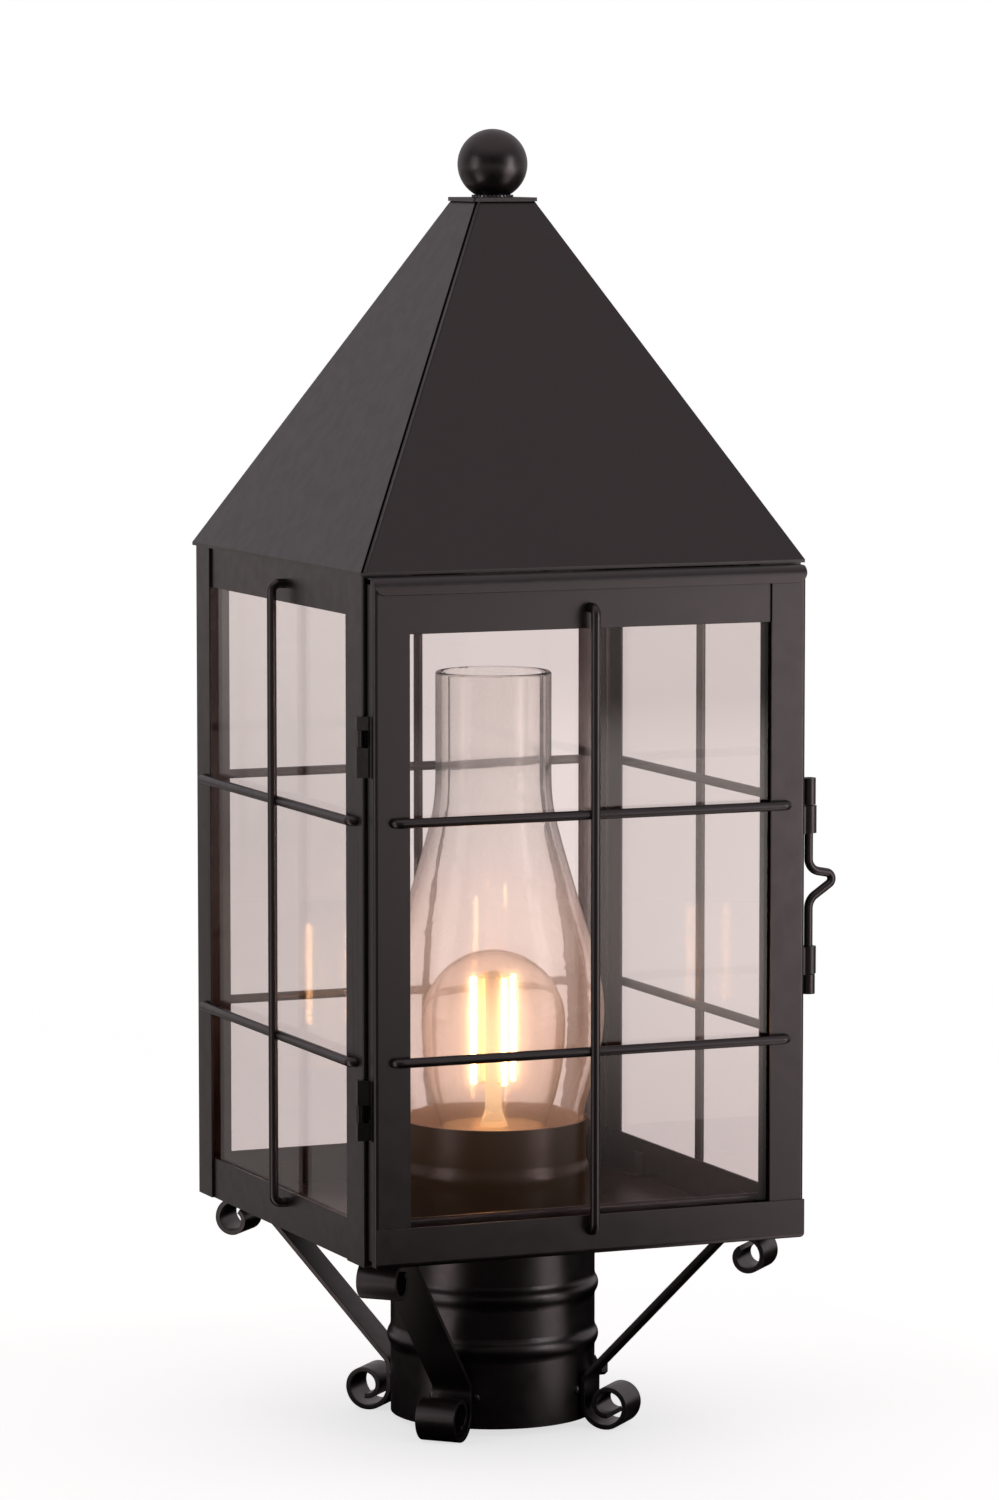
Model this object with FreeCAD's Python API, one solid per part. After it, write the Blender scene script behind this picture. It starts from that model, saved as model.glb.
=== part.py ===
import FreeCAD, Part
import math
import os

# A post-top lantern of black sheet metal with four clear panes, a hipped roof and a ball finial.
# The origin is on the post's axis at the fitter's open lower end. +Z points up to the ball,
# -Y is the door's side and the door's hinges stand on the -X side. All sizes are in millimetres.

V = FreeCAD.Vector

# Post fitter: a rolled tube that slips over a round post
POST_DIAMETER = 76.2
POST_GAP = 0.65
FITTER_WALL = 1.0
FITTER_HEIGHT = 77.2
FITTER_FLANGE = 8.0
BEAD_HEIGHTS = (30.1, 50.2)
BEAD_PROUD = 1.4
BEAD_HALF = 4.8
SCREW_RADIUS = 2.5
SCREW_HEIGHT = 13.0
SCREW_HEAD_FLATS = 6.0
SCREW_HEAD_HEIGHT = 2.5
SCREW_HEAD_GAP = 1.5
SCREW_NUT_FLATS = 8.0
SCREW_NUT_HEIGHT = 4.0
SCREW_ANGLES = (0.0, 90.0)

# Body: four folded corner posts, rails and a floor
BODY_WIDTH = 178.0
BODY_HEIGHT = 256.8
SHEET = 1.0
FOLD_RADIUS = 0.8
DRILL_REACH = 3.0
POST_FLANGE = 15.0
FRONT_POST_FLANGE = 17.0
BOTTOM_RAIL_HEIGHT = 15.8
TOP_RAIL_HEIGHT = 15.6
TOP_RAIL_FLANGE = 10.0
SILL_HEIGHT = 17.2
SILL_HEM_RADIUS = 1.3
FLOOR_THICKNESS = 1.2

# Panes and the small angle clips that hold them
GLASS = 2.4
PANE_CORNER_GAP = 0.4
PANE_TOP_GAP = 2.0
CLIP_SHEET = 0.8
CLIP_WIDTH = 8.0
CLIP_BASE = 6.0
CLIP_TAB = 9.0
CLIP_SPACING = 50.0

# Guard wires: one upright and two level wires on each face
GUARD_RADIUS = 1.8
GUARD_END_INSET = 9.0
GUARD_LOW = 76.0
GUARD_HIGH = 165.8
GUARD_LEVEL_STANDOFF = 2.2
GUARD_UPRIGHT_STANDOFF = 4.1
GUARD_LEVEL_BEND = 2.2
GUARD_UPRIGHT_BEND = 3.0
GUARD_TOP_INSET = 8.5
GUARD_BOTTOM_INSET = 11.2
GUARD_HOLE_GAP = 0.05
GUARD_UPRIGHT_OFFSETS = {"left": 6.0, "right": 8.0, "back": -6.0}
GUARD_LEVEL_OFFSETS = {"left": 2.0, "right": 0.0, "back": 0.0}

# Roof, cap plate and ball
ROOF_OVERHANG = 1.0
ROOF_RISE = 135.0
ROOF_TOP_HALF = 12.3
ROOF_SHEET = 0.9
EAVE_BAND = 1.2
ROOF_LEDGE = 10.0
SEAM_OFFSET = 1.8
SEAM_RADIUS = 0.6
CAP_WIDTH = 26.4
CAP_THICKNESS = 1.5
CAP_CORNER = 0.8
BALL_RADIUS = 13.4
BALL_NECK_RADIUS = 6.7
BALL_NECK_HEIGHT = 1.0
STUD_RADIUS = 3.0
HOLE_GAP = 0.2
STUD_IN_BALL = 11.0
STUD_BELOW_NUT = 4.0
NUT_ACROSS_FLATS = 10.0
NUT_HEIGHT = 5.0
THREAD_GAP = 0.03

# Scroll brackets: flat strip curled at both ends, one at each corner
STRIP_WIDTH = 16.0
STRIP_THICKNESS = 1.9
SCROLL_FOOT = 3.0
SEAT_GAP = 0.05
LOWER_CURL = ((9.2, 90), (8.0, 90), (6.8, 90), (5.7, 90), (4.7, 100))
UPPER_CURL = ((7.0, 90), (6.0, 90), (5.0, 90), (4.2, 60))
BRACKET_KNEE_HEIGHT = 16.6
BRACKET_TOP_RUN = 9.8
BRACKET_CORNER_INSET = 18.9
KNEE_BEND = 6.0
TOP_BEND = 5.0

# Door: a tray of sheet that lies over the body's front, with a cap strip, a lapped top rail
# and a bottom strip
DOOR_SIDE_INSET = 1.5
DOOR_DEPTH = 6.6
DOOR_GAP = 1.2
DOOR_TOP_GAP = 0.5
DOOR_BOTTOM_GAP = 0.4
DOOR_SHEET = 0.9
DOOR_STILE = 14.2
DOOR_SIDE_BEND = 0.6
DOOR_TOP_RAIL = 21.0
DOOR_TRIM = 0.8
DOOR_TRIM_LAP = 1.5
DOOR_CAP_HEIGHT = 6.5
DOOR_TOP_BEND = 1.8
DOOR_CAP_CORNER = 4.0
DOOR_BOTTOM_HEIGHT = 14.9
DOOR_BOTTOM_BEND = 0.3
DOOR_BOTTOM_CORNER = 1.7
DOOR_RELIEF = 1.8
DOOR_GUARD_LOW = 77.2
DOOR_GUARD_HIGH = 166.0
DOOR_GUARD_TOP_INSET = 13.3
DOOR_GUARD_BOTTOM_INSET = 9.5
DOOR_GUARD_END_INSET = 8.0
DOOR_GUARD_OFFSET = -0.7
DOOR_PANE_GAP = 1.0

# Hinges: rolled knuckles round a pin that stands just outside the front left corner
HINGE_AXIS_OUT = 1.6
HINGE_AXIS_FRONT = 0.75
KNUCKLE_RADIUS = 1.5
PIN_RADIUS = 0.85
PIN_GAP = 0.05
KNUCKLE_GAP = 0.3
LEAF_THICKNESS = 0.7
FRAME_LEAF_LENGTH = 9.0
DOOR_LEAF_LENGTH = 2.6
DOOR_LEAF_CRANK = 1.4
HINGE_HEIGHT = 22.6
FRAME_KNUCKLE_HEIGHT = 6.0
HINGES = ((182.7, 11.3), (48.0, 7.0))

# Latch: a bent wire that turns in two knuckles on the door, between two keepers on the body
LATCH_WIRE_RADIUS = 1.65
LATCH_GAP = 0.1
LATCH_AXIS_OUT = 2.5
LATCH_AXIS_FRONT = 2.3
LATCH_KNUCKLE_RADIUS = 2.95
LATCH_KEEPER_RADIUS = 2.6
LATCH_PLATE = 0.9
LATCH_LEAF_LENGTH = 4.0
LATCH_KEEPER_LEAF = 9.0
LATCH_BOTTOM = 100.8
LATCH_LENGTH = 64.0
LATCH_KNUCKLE_HEIGHT = 10.4
LATCH_LOWER_KEEPER_HEIGHT = 7.4
LATCH_UPPER_KEEPER_HEIGHT = 10.1
LATCH_END_GAP = 0.4
LATCH_GRIP_REACH = 13.4
LATCH_GRIP_TOP = 39.5
LATCH_GRIP_TIP = 37.0
LATCH_GRIP_BOTTOM = 28.0
LATCH_GRIP_BENDS = (5.0, 2.4, 6.0)

# Lamp: chimney holder, chimney, socket and a clear filament lamp
HOLDER_RADIUS = 36.0
HOLDER_HEIGHT = 36.9
HOLDER_WALL = 0.8
HOLDER_BEAD = 17.0
HOLDER_BEAD_PROUD = 1.0
HOLDER_BEAD_HALF = 5.0
HOLDER_BAND = 6.6
HOLDER_BAND_PROUD = 0.5
CHIMNEY_WALL = 2.2
CHIMNEY_SEAT_GAP = 0.4
CHIMNEY_COLLAR = 33.0
CHIMNEY_NECK_RADIUS = 22.4
CHIMNEY_NECK_START = 170.5
CHIMNEY_HEIGHT = 208.5
CHIMNEY_BELLY = ((37.6, 47.5), (41.7, 64.0), (42.8, 81.5), (39.7, 98.0), (32.4, 123.0), (25.0, 149.0))
SOCKET_WALL = 4.5
SOCKET_BASE = 2.0
SOCKET_RIM_GAP = 0.4
SHELL_WALL = 0.6
SHELL_GAP = 0.1
SHELL_LAMP_GAP = 0.6
LAMP_CAP_RADIUS = 13.2
LAMP_TIP_RADIUS = 4.5
LAMP_TIP_HEIGHT = 2.0
LAMP_CAP_HEIGHT = 20.8
COLLAR_HEIGHT = 8.0
COLLAR_FLARE = 5.0
BULB_NECK_RADIUS = 20.6
BULB_RADIUS = 27.8
BULB_CENTRE = 40.4
BULB_WALL = 0.8
STEM_RADIUS = 3.3
STEM_FLARE_RADIUS = 5.6
STEM_FLARE_HEIGHT = 6.0
STEM_CROWN_GAP = 7.4
FILAMENT_COUNT = 4
FILAMENT_RADIUS = 1.0
FILAMENT_CIRCLE = 8.7
FILAMENT_BOTTOM = 17.0
FILAMENT_TOP_INSET = 2.0
FILAMENT_TURN = 5.0
LEAD_RADIUS = 0.35
NIPPLE_RADIUS = 5.0
NIPPLE_BORE = 3.4
NIPPLE_BELOW = 8.0
NIPPLE_TOP_GAP = 0.4
LOCKNUT_ACROSS_FLATS = 14.0
LOCKNUT_HEIGHT = 4.0

# Places that follow from the sizes above
FITTER_BORE = POST_DIAMETER / 2 + POST_GAP
FITTER_RADIUS = FITTER_BORE + FITTER_WALL
BODY_BOTTOM = FITTER_HEIGHT
BODY_TOP = BODY_BOTTOM + BODY_HEIGHT
FLOOR_TOP = BODY_BOTTOM + FLOOR_THICKNESS
HALF = BODY_WIDTH / 2
POST_INSIDE = HALF - SHEET
RAIL_INSIDE = POST_INSIDE - SHEET
PANE_INSIDE = RAIL_INSIDE - GLASS
GUARD_HALF_SPAN = HALF - GUARD_END_INSET
BRACKET_CURL_START = HALF * math.sqrt(2) - BRACKET_CORNER_INSET
BRACKET_TOP_CORNER = BRACKET_CURL_START - BRACKET_TOP_RUN
DOOR_HALF = HALF - DOOR_SIDE_INSET
DOOR_GUARD_HALF_SPAN = DOOR_HALF - DOOR_GUARD_END_INSET
DOOR_BACK = -(HALF + DOOR_GAP)
DOOR_FRONT = DOOR_BACK - DOOR_DEPTH
DOOR_TOP = BODY_TOP - DOOR_TOP_GAP
DOOR_BOTTOM = BODY_BOTTOM + DOOR_BOTTOM_GAP
DOOR_INSIDE = DOOR_HALF - DOOR_SHEET
DOOR_SHEET_BACK = DOOR_FRONT + DOOR_SHEET
DOOR_PANE_FRONT = DOOR_SHEET_BACK + DOOR_SHEET
DOOR_PANE_HALF = DOOR_INSIDE - DOOR_PANE_GAP
HINGE_X = -(HALF + HINGE_AXIS_OUT)
HINGE_Y = -(HALF + HINGE_AXIS_FRONT)
LATCH_X = HALF + LATCH_AXIS_OUT
LATCH_Y = -(HALF + LATCH_AXIS_FRONT)
LATCH_Z = BODY_BOTTOM + LATCH_BOTTOM
LATCH_TOP = LATCH_Z + LATCH_LENGTH
HOLDER_FLOOR = FLOOR_TOP + HOLDER_WALL
SOCKET_FLOOR = HOLDER_FLOOR + SOCKET_BASE
LAMP_BASE = SOCKET_FLOOR + LAMP_TIP_HEIGHT + LAMP_CAP_HEIGHT
SHELL_RADIUS = LAMP_CAP_RADIUS + SHELL_LAMP_GAP + SHELL_WALL
SOCKET_RADIUS = SHELL_RADIUS + SHELL_GAP + SOCKET_WALL
SOCKET_TOP = LAMP_BASE - SOCKET_RIM_GAP
COLLAR_TOP = LAMP_BASE + COLLAR_HEIGHT
BULB_TOP = COLLAR_TOP + BULB_CENTRE + BULB_RADIUS
STEM_TOP = BULB_TOP - BULB_WALL - STEM_CROWN_GAP
ROOF_HALF = HALF + ROOF_OVERHANG
ROOF_TOP = BODY_TOP + ROOF_RISE
CAP_TOP = ROOF_TOP + CAP_THICKNESS
GUARD_Z = (BODY_BOTTOM + GUARD_LOW, BODY_BOTTOM + GUARD_HIGH)
DOOR_GUARD_Z = (BODY_BOTTOM + DOOR_GUARD_LOW, BODY_BOTTOM + DOOR_GUARD_HIGH)
DOOR_GUARD_TOP = DOOR_TOP - DOOR_GUARD_TOP_INSET
DOOR_GUARD_BOTTOM = BODY_BOTTOM + DOOR_GUARD_BOTTOM_INSET
FACES = {"left": -90.0, "right": 90.0, "back": 180.0}
CORNERS = {
    "front_left": (-1, -1),
    "front_right": (1, -1),
    "back_right": (1, 1),
    "back_left": (-1, 1),
}
UP = V(0, 0, 1)
CENTRE = V(0, 0, 0)
TOUCH = 1e-6


def save(name, shape):
    """Write one piece to its own file."""
    shape.exportStep("parts/" + name + ".step")


def box(x0, x1, y0, y1, z0, z1):
    return Part.makeBox(x1 - x0, y1 - y0, z1 - z0, V(x0, y0, z0))


def drum(radius, z0, z1, x=0.0, y=0.0):
    return Part.makeCylinder(radius, z1 - z0, V(x, y, z0))


def turned(shape, angle):
    """A copy turned about the lantern's upright axis."""
    copy = shape.copy()
    copy.rotate(CENTRE, UP, angle)
    return copy


def line(a, b):
    """A straight edge between two (across, up) points of the XZ plane."""
    return Part.makeLine(V(a[0], 0, a[1]), V(b[0], 0, b[1]))


def arc(a, middle, b):
    """An arc through three (across, up) points of the XZ plane."""
    return Part.Arc(V(a[0], 0, a[1]), V(middle[0], 0, middle[1]), V(b[0], 0, b[1])).toShape()


def curve(points, start_direction, end_direction):
    """A smooth edge through (across, up) points with given end directions."""
    spline = Part.BSplineCurve()
    places = [V(p[0], 0, p[1]) for p in points]
    first = V(start_direction[0], 0, start_direction[1])
    last = V(end_direction[0], 0, end_direction[1])
    spline.interpolate(Points=places, InitialTangent=first, FinalTangent=last)
    return spline.toShape()


def outline(points):
    """Straight edges through (across, up) points, not closed."""
    return [line(a, b) for a, b in zip(points, points[1:])]


def face_of(edges):
    return Part.Face(Part.Wire(Part.__sortEdges__(edges)))


def revolved(edges):
    """A turned solid from a closed half section in the XZ plane."""
    return face_of(edges).revolve(CENTRE, UP, 360)


def revolved_points(points):
    return revolved(outline(list(points) + [points[0]]))


def beaded_side(radius, z0, z1, beads, proud, half):
    """The edges of an upright wall with soft rolled beads at the given heights: each has a round crown
    between two hollow flanks of the same radius."""
    sweep = 2 * math.atan(proud / half)
    bend = half / (2 * math.sin(sweep))
    toe_out = bend * (1 - math.cos(sweep / 2))
    toe_up = half - bend * math.sin(sweep / 2)
    edges = []
    z = z0
    for bead in beads:
        flanks = [(radius + proud / 2, bead - half / 2), (radius + proud / 2, bead + half / 2)]
        edges.append(line((radius, z), (radius, bead - half)))
        edges.append(arc((radius, bead - half), (radius + toe_out, bead - toe_up), flanks[0]))
        edges.append(arc(flanks[0], (radius + proud, bead), flanks[1]))
        edges.append(arc(flanks[1], (radius + toe_out, bead + toe_up), (radius, bead + half)))
        z = bead + half
    edges.append(line((radius, z), (radius, z1)))
    return edges


def ribbon(points, thickness):
    """The outline of a thin folded sheet seen on edge, mitred at its folds, as a list of points."""
    sides = ([], [])
    last = len(points) - 1
    for index, point in enumerate(points):
        before = points[max(index - 1, 0)]
        after = points[min(index + 1, last)]
        ahead = math.atan2(after[1] - point[1], after[0] - point[0]) if index < last else None
        behind = math.atan2(point[1] - before[1], point[0] - before[0]) if index > 0 else ahead
        ahead = behind if ahead is None else ahead
        bisector = (ahead + behind) / 2
        if abs(ahead - behind) > math.pi:
            bisector += math.pi
        reach = thickness / 2 / math.cos(bisector - behind)
        sides[0].append(beside(point, bisector, reach))
        sides[1].append(beside(point, bisector, -reach))
    return sides[0] + sides[1][::-1]


def upright_sheet(points, thickness, z0, z1):
    """A folded sheet whose folds run up Z; points are (x, y)."""
    loop = [V(x, y, z0) for x, y in ribbon(points, thickness)]
    return Part.Face(Part.makePolygon(loop + loop[:1])).extrude(V(0, 0, z1 - z0))


def level_sheet(points, thickness, x0, x1):
    """A folded sheet whose folds run along X; points are (y, z)."""
    loop = [V(x0, y, z) for y, z in ribbon(points, thickness)]
    return Part.Face(Part.makePolygon(loop + loop[:1])).extrude(V(x1 - x0, 0, 0))


def rounded_path(points, radii):
    """A path of straight runs joined by tangent arcs."""
    edges = []
    start = points[0]
    for before, corner, after, radius in zip(points, points[1:], points[2:], radii):
        back = (before - corner).normalize()
        on = (after - corner).normalize()
        half = back.getAngle(on) / 2
        first = corner + back * (radius / math.tan(half))
        second = corner + on * (radius / math.tan(half))
        middle = corner + (back + on).normalize() * (radius / math.sin(half) - radius)
        edges.append(Part.makeLine(start, first))
        edges.append(Part.Arc(first, middle, second).toShape())
        start = second
    edges.append(Part.makeLine(start, points[-1]))
    return Part.Wire(edges)


def bent_wire(points, radii, radius):
    """A round wire bent along a path."""
    path = rounded_path(points, radii)
    section = Part.Wire(Part.makeCircle(radius, points[0], points[1] - points[0]))
    return path.makePipeShell([section], True, False)


def rounded(shape, radius, *places):
    """Round the straight edges that pass through the given places."""
    marks = [Part.Vertex(place) for place in places]
    chosen = [edge for edge in shape.Edges if any(edge.distToShape(mark)[0] < TOUCH for mark in marks)]
    return shape.makeFillet(radius, chosen)


def hexagon(across_flats, z0, z1):
    """A six-sided prism on the Z axis."""
    corner = across_flats / math.sqrt(3)
    angles = [math.radians(60 * step) for step in range(7)]
    loop = [V(corner * math.cos(angle), corner * math.sin(angle), z0) for angle in angles]
    return Part.Face(Part.makePolygon(loop)).extrude(V(0, 0, z1 - z0))


def advance(place, heading, size, turn):
    """Move along a straight of the given length, or round an arc of that radius when turn isn't 0."""
    if turn == 0:
        return (place[0] + size * math.cos(heading), place[1] + size * math.sin(heading)), heading
    side = math.copysign(size, turn)
    after = heading + math.radians(turn)
    across = place[0] - side * math.sin(heading) + side * math.sin(after)
    up = place[1] + side * math.cos(heading) - side * math.cos(after)
    return (across, up), after


def beside(place, heading, distance):
    return (place[0] - distance * math.sin(heading), place[1] + distance * math.cos(heading))


def strip_edges(place, heading, moves, thickness):
    """The closed outline of a bent strip seen on edge."""
    sides = (thickness / 2, -thickness / 2)
    edges = [line(beside(place, heading, sides[0]), beside(place, heading, sides[1]))]
    for size, turn in moves:
        halfway = advance(place, heading, size if turn else size / 2, turn / 2)
        after = advance(place, heading, size, turn)
        for distance in sides:
            ends = [beside(*spot, distance) for spot in ((place, heading), halfway, after)]
            edges.append(arc(*ends) if turn else line(ends[0], ends[2]))
        place, heading = after
    edges.append(line(beside(place, heading, sides[0]), beside(place, heading, sides[1])))
    return edges


def folded_strip(place, heading, moves, thickness, x0, x1):
    """A strip bent by the given moves, drawn as (y, z), with its folds along X."""
    section = face_of(strip_edges(place, math.radians(heading), moves, thickness))
    section.rotate(CENTRE, UP, 90)
    section.translate(V(x0, 0, 0))
    return section.extrude(V(x1 - x0, 0, 0))


def radial(shape, angle, z):
    """A copy of an upright shape laid to point away from the axis at one angle and height."""
    copy = shape.copy()
    copy.rotate(CENTRE, V(0, 1, 0), 90)
    copy.translate(V(0, 0, z))
    copy.rotate(CENTRE, UP, angle)
    return copy


def post_fitter():
    top = BODY_BOTTOM
    edges = beaded_side(FITTER_RADIUS, 0.0, top, BEAD_HEIGHTS, BEAD_PROUD, BEAD_HALF)
    edges += beaded_side(FITTER_BORE, 0.0, top - FITTER_WALL, BEAD_HEIGHTS, BEAD_PROUD, BEAD_HALF)
    flange = FITTER_BORE - FITTER_FLANGE
    edges += outline([(FITTER_RADIUS, top), (flange, top), (flange, top - FITTER_WALL)])
    edges.append(line((flange, top - FITTER_WALL), (FITTER_BORE, top - FITTER_WALL)))
    edges.append(line((FITTER_BORE, 0.0), (FITTER_RADIUS, 0.0)))
    fitter = revolved(edges)
    for angle in SCREW_ANGLES:
        hole = drum(SCREW_RADIUS + THREAD_GAP, FITTER_BORE - FITTER_WALL, FITTER_RADIUS + FITTER_WALL)
        fitter = fitter.cut(radial(hole, angle, SCREW_HEIGHT))
    return fitter


def fitter_nut(angle):
    """A nut welded on the fitter's wall, with its foot shaped to the wall."""
    outer = FITTER_RADIUS + SCREW_NUT_HEIGHT
    nut = hexagon(SCREW_NUT_FLATS, FITTER_BORE, outer)
    nut = nut.cut(drum(SCREW_RADIUS + THREAD_GAP, FITTER_BORE, outer))
    return radial(nut, angle, SCREW_HEIGHT).cut(drum(FITTER_RADIUS, 0.0, BODY_BOTTOM))


def set_screw(angle):
    """A short hexagon head screw whose tip stops level with the fitter's bore."""
    head = FITTER_RADIUS + SCREW_NUT_HEIGHT + SCREW_HEAD_GAP
    screw = drum(SCREW_RADIUS, FITTER_BORE, head)
    screw = screw.fuse(hexagon(SCREW_HEAD_FLATS, head, head + SCREW_HEAD_HEIGHT))
    return radial(screw, angle, SCREW_HEIGHT).cut(drum(FITTER_BORE, 0.0, BODY_BOTTOM))


def scroll_bracket():
    """One bracket in the XZ plane: its foot curl beside the fitter, its top curl under the floor."""
    wall = FITTER_RADIUS + SEAT_GAP + STRIP_THICKNESS / 2
    roof = BODY_BOTTOM - SEAT_GAP - STRIP_THICKNESS / 2
    foot = (wall, LOWER_CURL[0][0] + STRIP_THICKNESS / 2 - SCROLL_FOOT)
    tip, heading = foot, math.radians(-90)
    for radius, turn in LOWER_CURL:
        tip, heading = advance(tip, heading, radius, turn)
    rise = roof - BRACKET_KNEE_HEIGHT
    reach = BRACKET_TOP_CORNER - wall
    slope = math.degrees(math.atan2(rise, reach))
    knee = KNEE_BEND * math.tan(math.radians(90 - slope) / 2)
    elbow = TOP_BEND * math.tan(math.radians(slope) / 2)
    moves = [(radius, -turn) for radius, turn in reversed(LOWER_CURL)]
    moves.append((BRACKET_KNEE_HEIGHT - foot[1] - knee, 0))
    moves.append((KNEE_BEND, slope - 90))
    moves.append((math.hypot(rise, reach) - knee - elbow, 0))
    moves.append((TOP_BEND, -slope))
    moves.append((BRACKET_CURL_START - BRACKET_TOP_CORNER - elbow, 0))
    moves += [(radius, -turn) for radius, turn in UPPER_CURL]
    section = face_of(strip_edges(tip, heading + math.pi, moves, STRIP_THICKNESS))
    section.translate(V(0, -STRIP_WIDTH / 2, 0))
    return section.extrude(V(0, STRIP_WIDTH, 0))


def floor_plate():
    plate = box(-RAIL_INSIDE, RAIL_INSIDE, -RAIL_INSIDE, RAIL_INSIDE, BODY_BOTTOM, FLOOR_TOP)
    return plate.cut(drum(NIPPLE_RADIUS + HOLE_GAP, BODY_BOTTOM, FLOOR_TOP))


def face_hole(x, y, z):
    """A drill through a front sheet for one leg of a guard wire."""
    start = V(x, y - DRILL_REACH, z)
    return Part.makeCylinder(GUARD_RADIUS + GUARD_HOLE_GAP, 2 * DRILL_REACH, start, V(0, 1, 0))


def corner_post(sign_x, sign_y):
    """An angle of sheet, wider on the front corners."""
    flange = FRONT_POST_FLANGE if sign_y < 0 else POST_FLANGE
    across = box(HALF - flange, HALF, HALF - SHEET, HALF, BODY_BOTTOM, BODY_TOP)
    along = box(HALF - SHEET, HALF, HALF - flange, HALF, BODY_BOTTOM, BODY_TOP)
    post = across.fuse(along).removeSplitter()
    post = rounded(post, FOLD_RADIUS, V(HALF, HALF, (BODY_BOTTOM + BODY_TOP) / 2))
    if sign_x < 0:
        post = post.mirror(CENTRE, V(1, 0, 0))
    if sign_y < 0:
        post = post.mirror(CENTRE, V(0, 1, 0))
    for name, angle in FACES.items():
        for side in (-GUARD_HALF_SPAN, GUARD_HALF_SPAN):
            for z in GUARD_Z:
                post = post.cut(turned(face_hole(side + GUARD_LEVEL_OFFSETS[name], -HALF, z), angle))
    return post


def front_sill():
    """The rail under the door opening, with a round hem along its top edge."""
    top = BODY_BOTTOM + SILL_HEIGHT
    web = box(-RAIL_INSIDE, RAIL_INSIDE, -POST_INSIDE, -RAIL_INSIDE, BODY_BOTTOM, top - SILL_HEM_RADIUS)
    start = V(-RAIL_INSIDE, SILL_HEM_RADIUS - POST_INSIDE, top - SILL_HEM_RADIUS)
    hem = Part.makeCylinder(SILL_HEM_RADIUS, 2 * RAIL_INSIDE, start, V(1, 0, 0))
    return web.fuse(hem).removeSplitter()


def bottom_rail(half_length, offset):
    top = BODY_BOTTOM + BOTTOM_RAIL_HEIGHT
    rail = box(-half_length, half_length, -POST_INSIDE, -RAIL_INSIDE, BODY_BOTTOM, top)
    return rail.cut(face_hole(offset, -POST_INSIDE, BODY_BOTTOM + GUARD_BOTTOM_INSET))


def top_rail(half_length, ledge_half, offset):
    """An angle: an upright web with a ledge under the roof."""
    low = BODY_TOP - TOP_RAIL_HEIGHT
    back = TOP_RAIL_FLANGE - POST_INSIDE
    web = box(-half_length, half_length, -POST_INSIDE, -RAIL_INSIDE, low, BODY_TOP)
    ledge = box(-ledge_half, ledge_half, -POST_INSIDE, back, BODY_TOP - SHEET, BODY_TOP)
    rail = web.fuse(ledge).removeSplitter()
    return rail.cut(face_hole(offset, -POST_INSIDE, BODY_TOP - GUARD_TOP_INSET))


def pane():
    half = PANE_INSIDE - PANE_CORNER_GAP
    return box(-half, half, -RAIL_INSIDE, -PANE_INSIDE, FLOOR_TOP, BODY_TOP - SHEET - PANE_TOP_GAP)


def pane_clips():
    """Angle clips on the floor and under the top rail's ledge that bear on the pane's inner face."""
    tab = -PANE_INSIDE + CLIP_SHEET / 2
    low = FLOOR_TOP + CLIP_SHEET / 2
    high = BODY_TOP - SHEET - CLIP_SHEET / 2
    clips = []
    for x in (-CLIP_SPACING, CLIP_SPACING):
        ends = (x - CLIP_WIDTH / 2, x + CLIP_WIDTH / 2)
        floor_clip = [(tab + CLIP_BASE, low), (tab, low), (tab, low + CLIP_TAB)]
        ledge_clip = [(tab + CLIP_BASE, high), (tab, high), (tab, high - CLIP_TAB)]
        clips.append(level_sheet(floor_clip, CLIP_SHEET, *ends))
        clips.append(level_sheet(ledge_clip, CLIP_SHEET, *ends))
    return clips


def level_guard(plane, centre, half_span, z, depth):
    """A level wire that lies along a front plane, with both ends bent back into it."""
    run = plane - GUARD_LEVEL_STANDOFF
    left, right = centre - half_span, centre + half_span
    points = [V(left, plane + depth, z), V(left, run, z), V(right, run, z), V(right, plane + depth, z)]
    return bent_wire(points, (GUARD_LEVEL_BEND, GUARD_LEVEL_BEND), GUARD_RADIUS)


def upright_guard(plane, x, z0, z1, depth, levels):
    """An upright wire set down on the level wires that it crosses."""
    run = plane - GUARD_UPRIGHT_STANDOFF
    points = [V(x, plane + depth, z0), V(x, run, z0), V(x, run, z1), V(x, plane + depth, z1)]
    wire = bent_wire(points, (GUARD_UPRIGHT_BEND, GUARD_UPRIGHT_BEND), GUARD_RADIUS)
    for z in levels:
        seat = V(x - 2 * GUARD_RADIUS, plane - GUARD_LEVEL_STANDOFF, z)
        wire = wire.cut(Part.makeCylinder(GUARD_RADIUS, 4 * GUARD_RADIUS, seat, V(1, 0, 0)))
    return wire


def pyramid(base_half, base_z, top_half, top_z):
    loops = []
    for half, z in ((base_half, base_z), (top_half, top_z)):
        corners = [V(-half, -half, z), V(half, -half, z), V(half, half, z), V(-half, half, z)]
        loops.append(Part.makePolygon(corners + corners[:1]))
    return Part.makeLoft(loops, True, True)


def hip_seam():
    """The rolled edge of the front panel beside the front left hip."""
    eave = BODY_TOP + EAVE_BAND
    low = V(SEAM_OFFSET - ROOF_HALF, -ROOF_HALF, eave)
    high = V(SEAM_OFFSET - ROOF_TOP_HALF, -ROOF_TOP_HALF, ROOF_TOP)
    along = high - low
    spare = (high - low).normalize() * (2 * SEAM_RADIUS)
    bead = Part.makeCylinder(SEAM_RADIUS, (along + spare * 2).Length, low - spare, along)
    return bead.common(box(-ROOF_HALF, 0, -ROOF_HALF - SEAM_RADIUS, 0, eave, ROOF_TOP))


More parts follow.
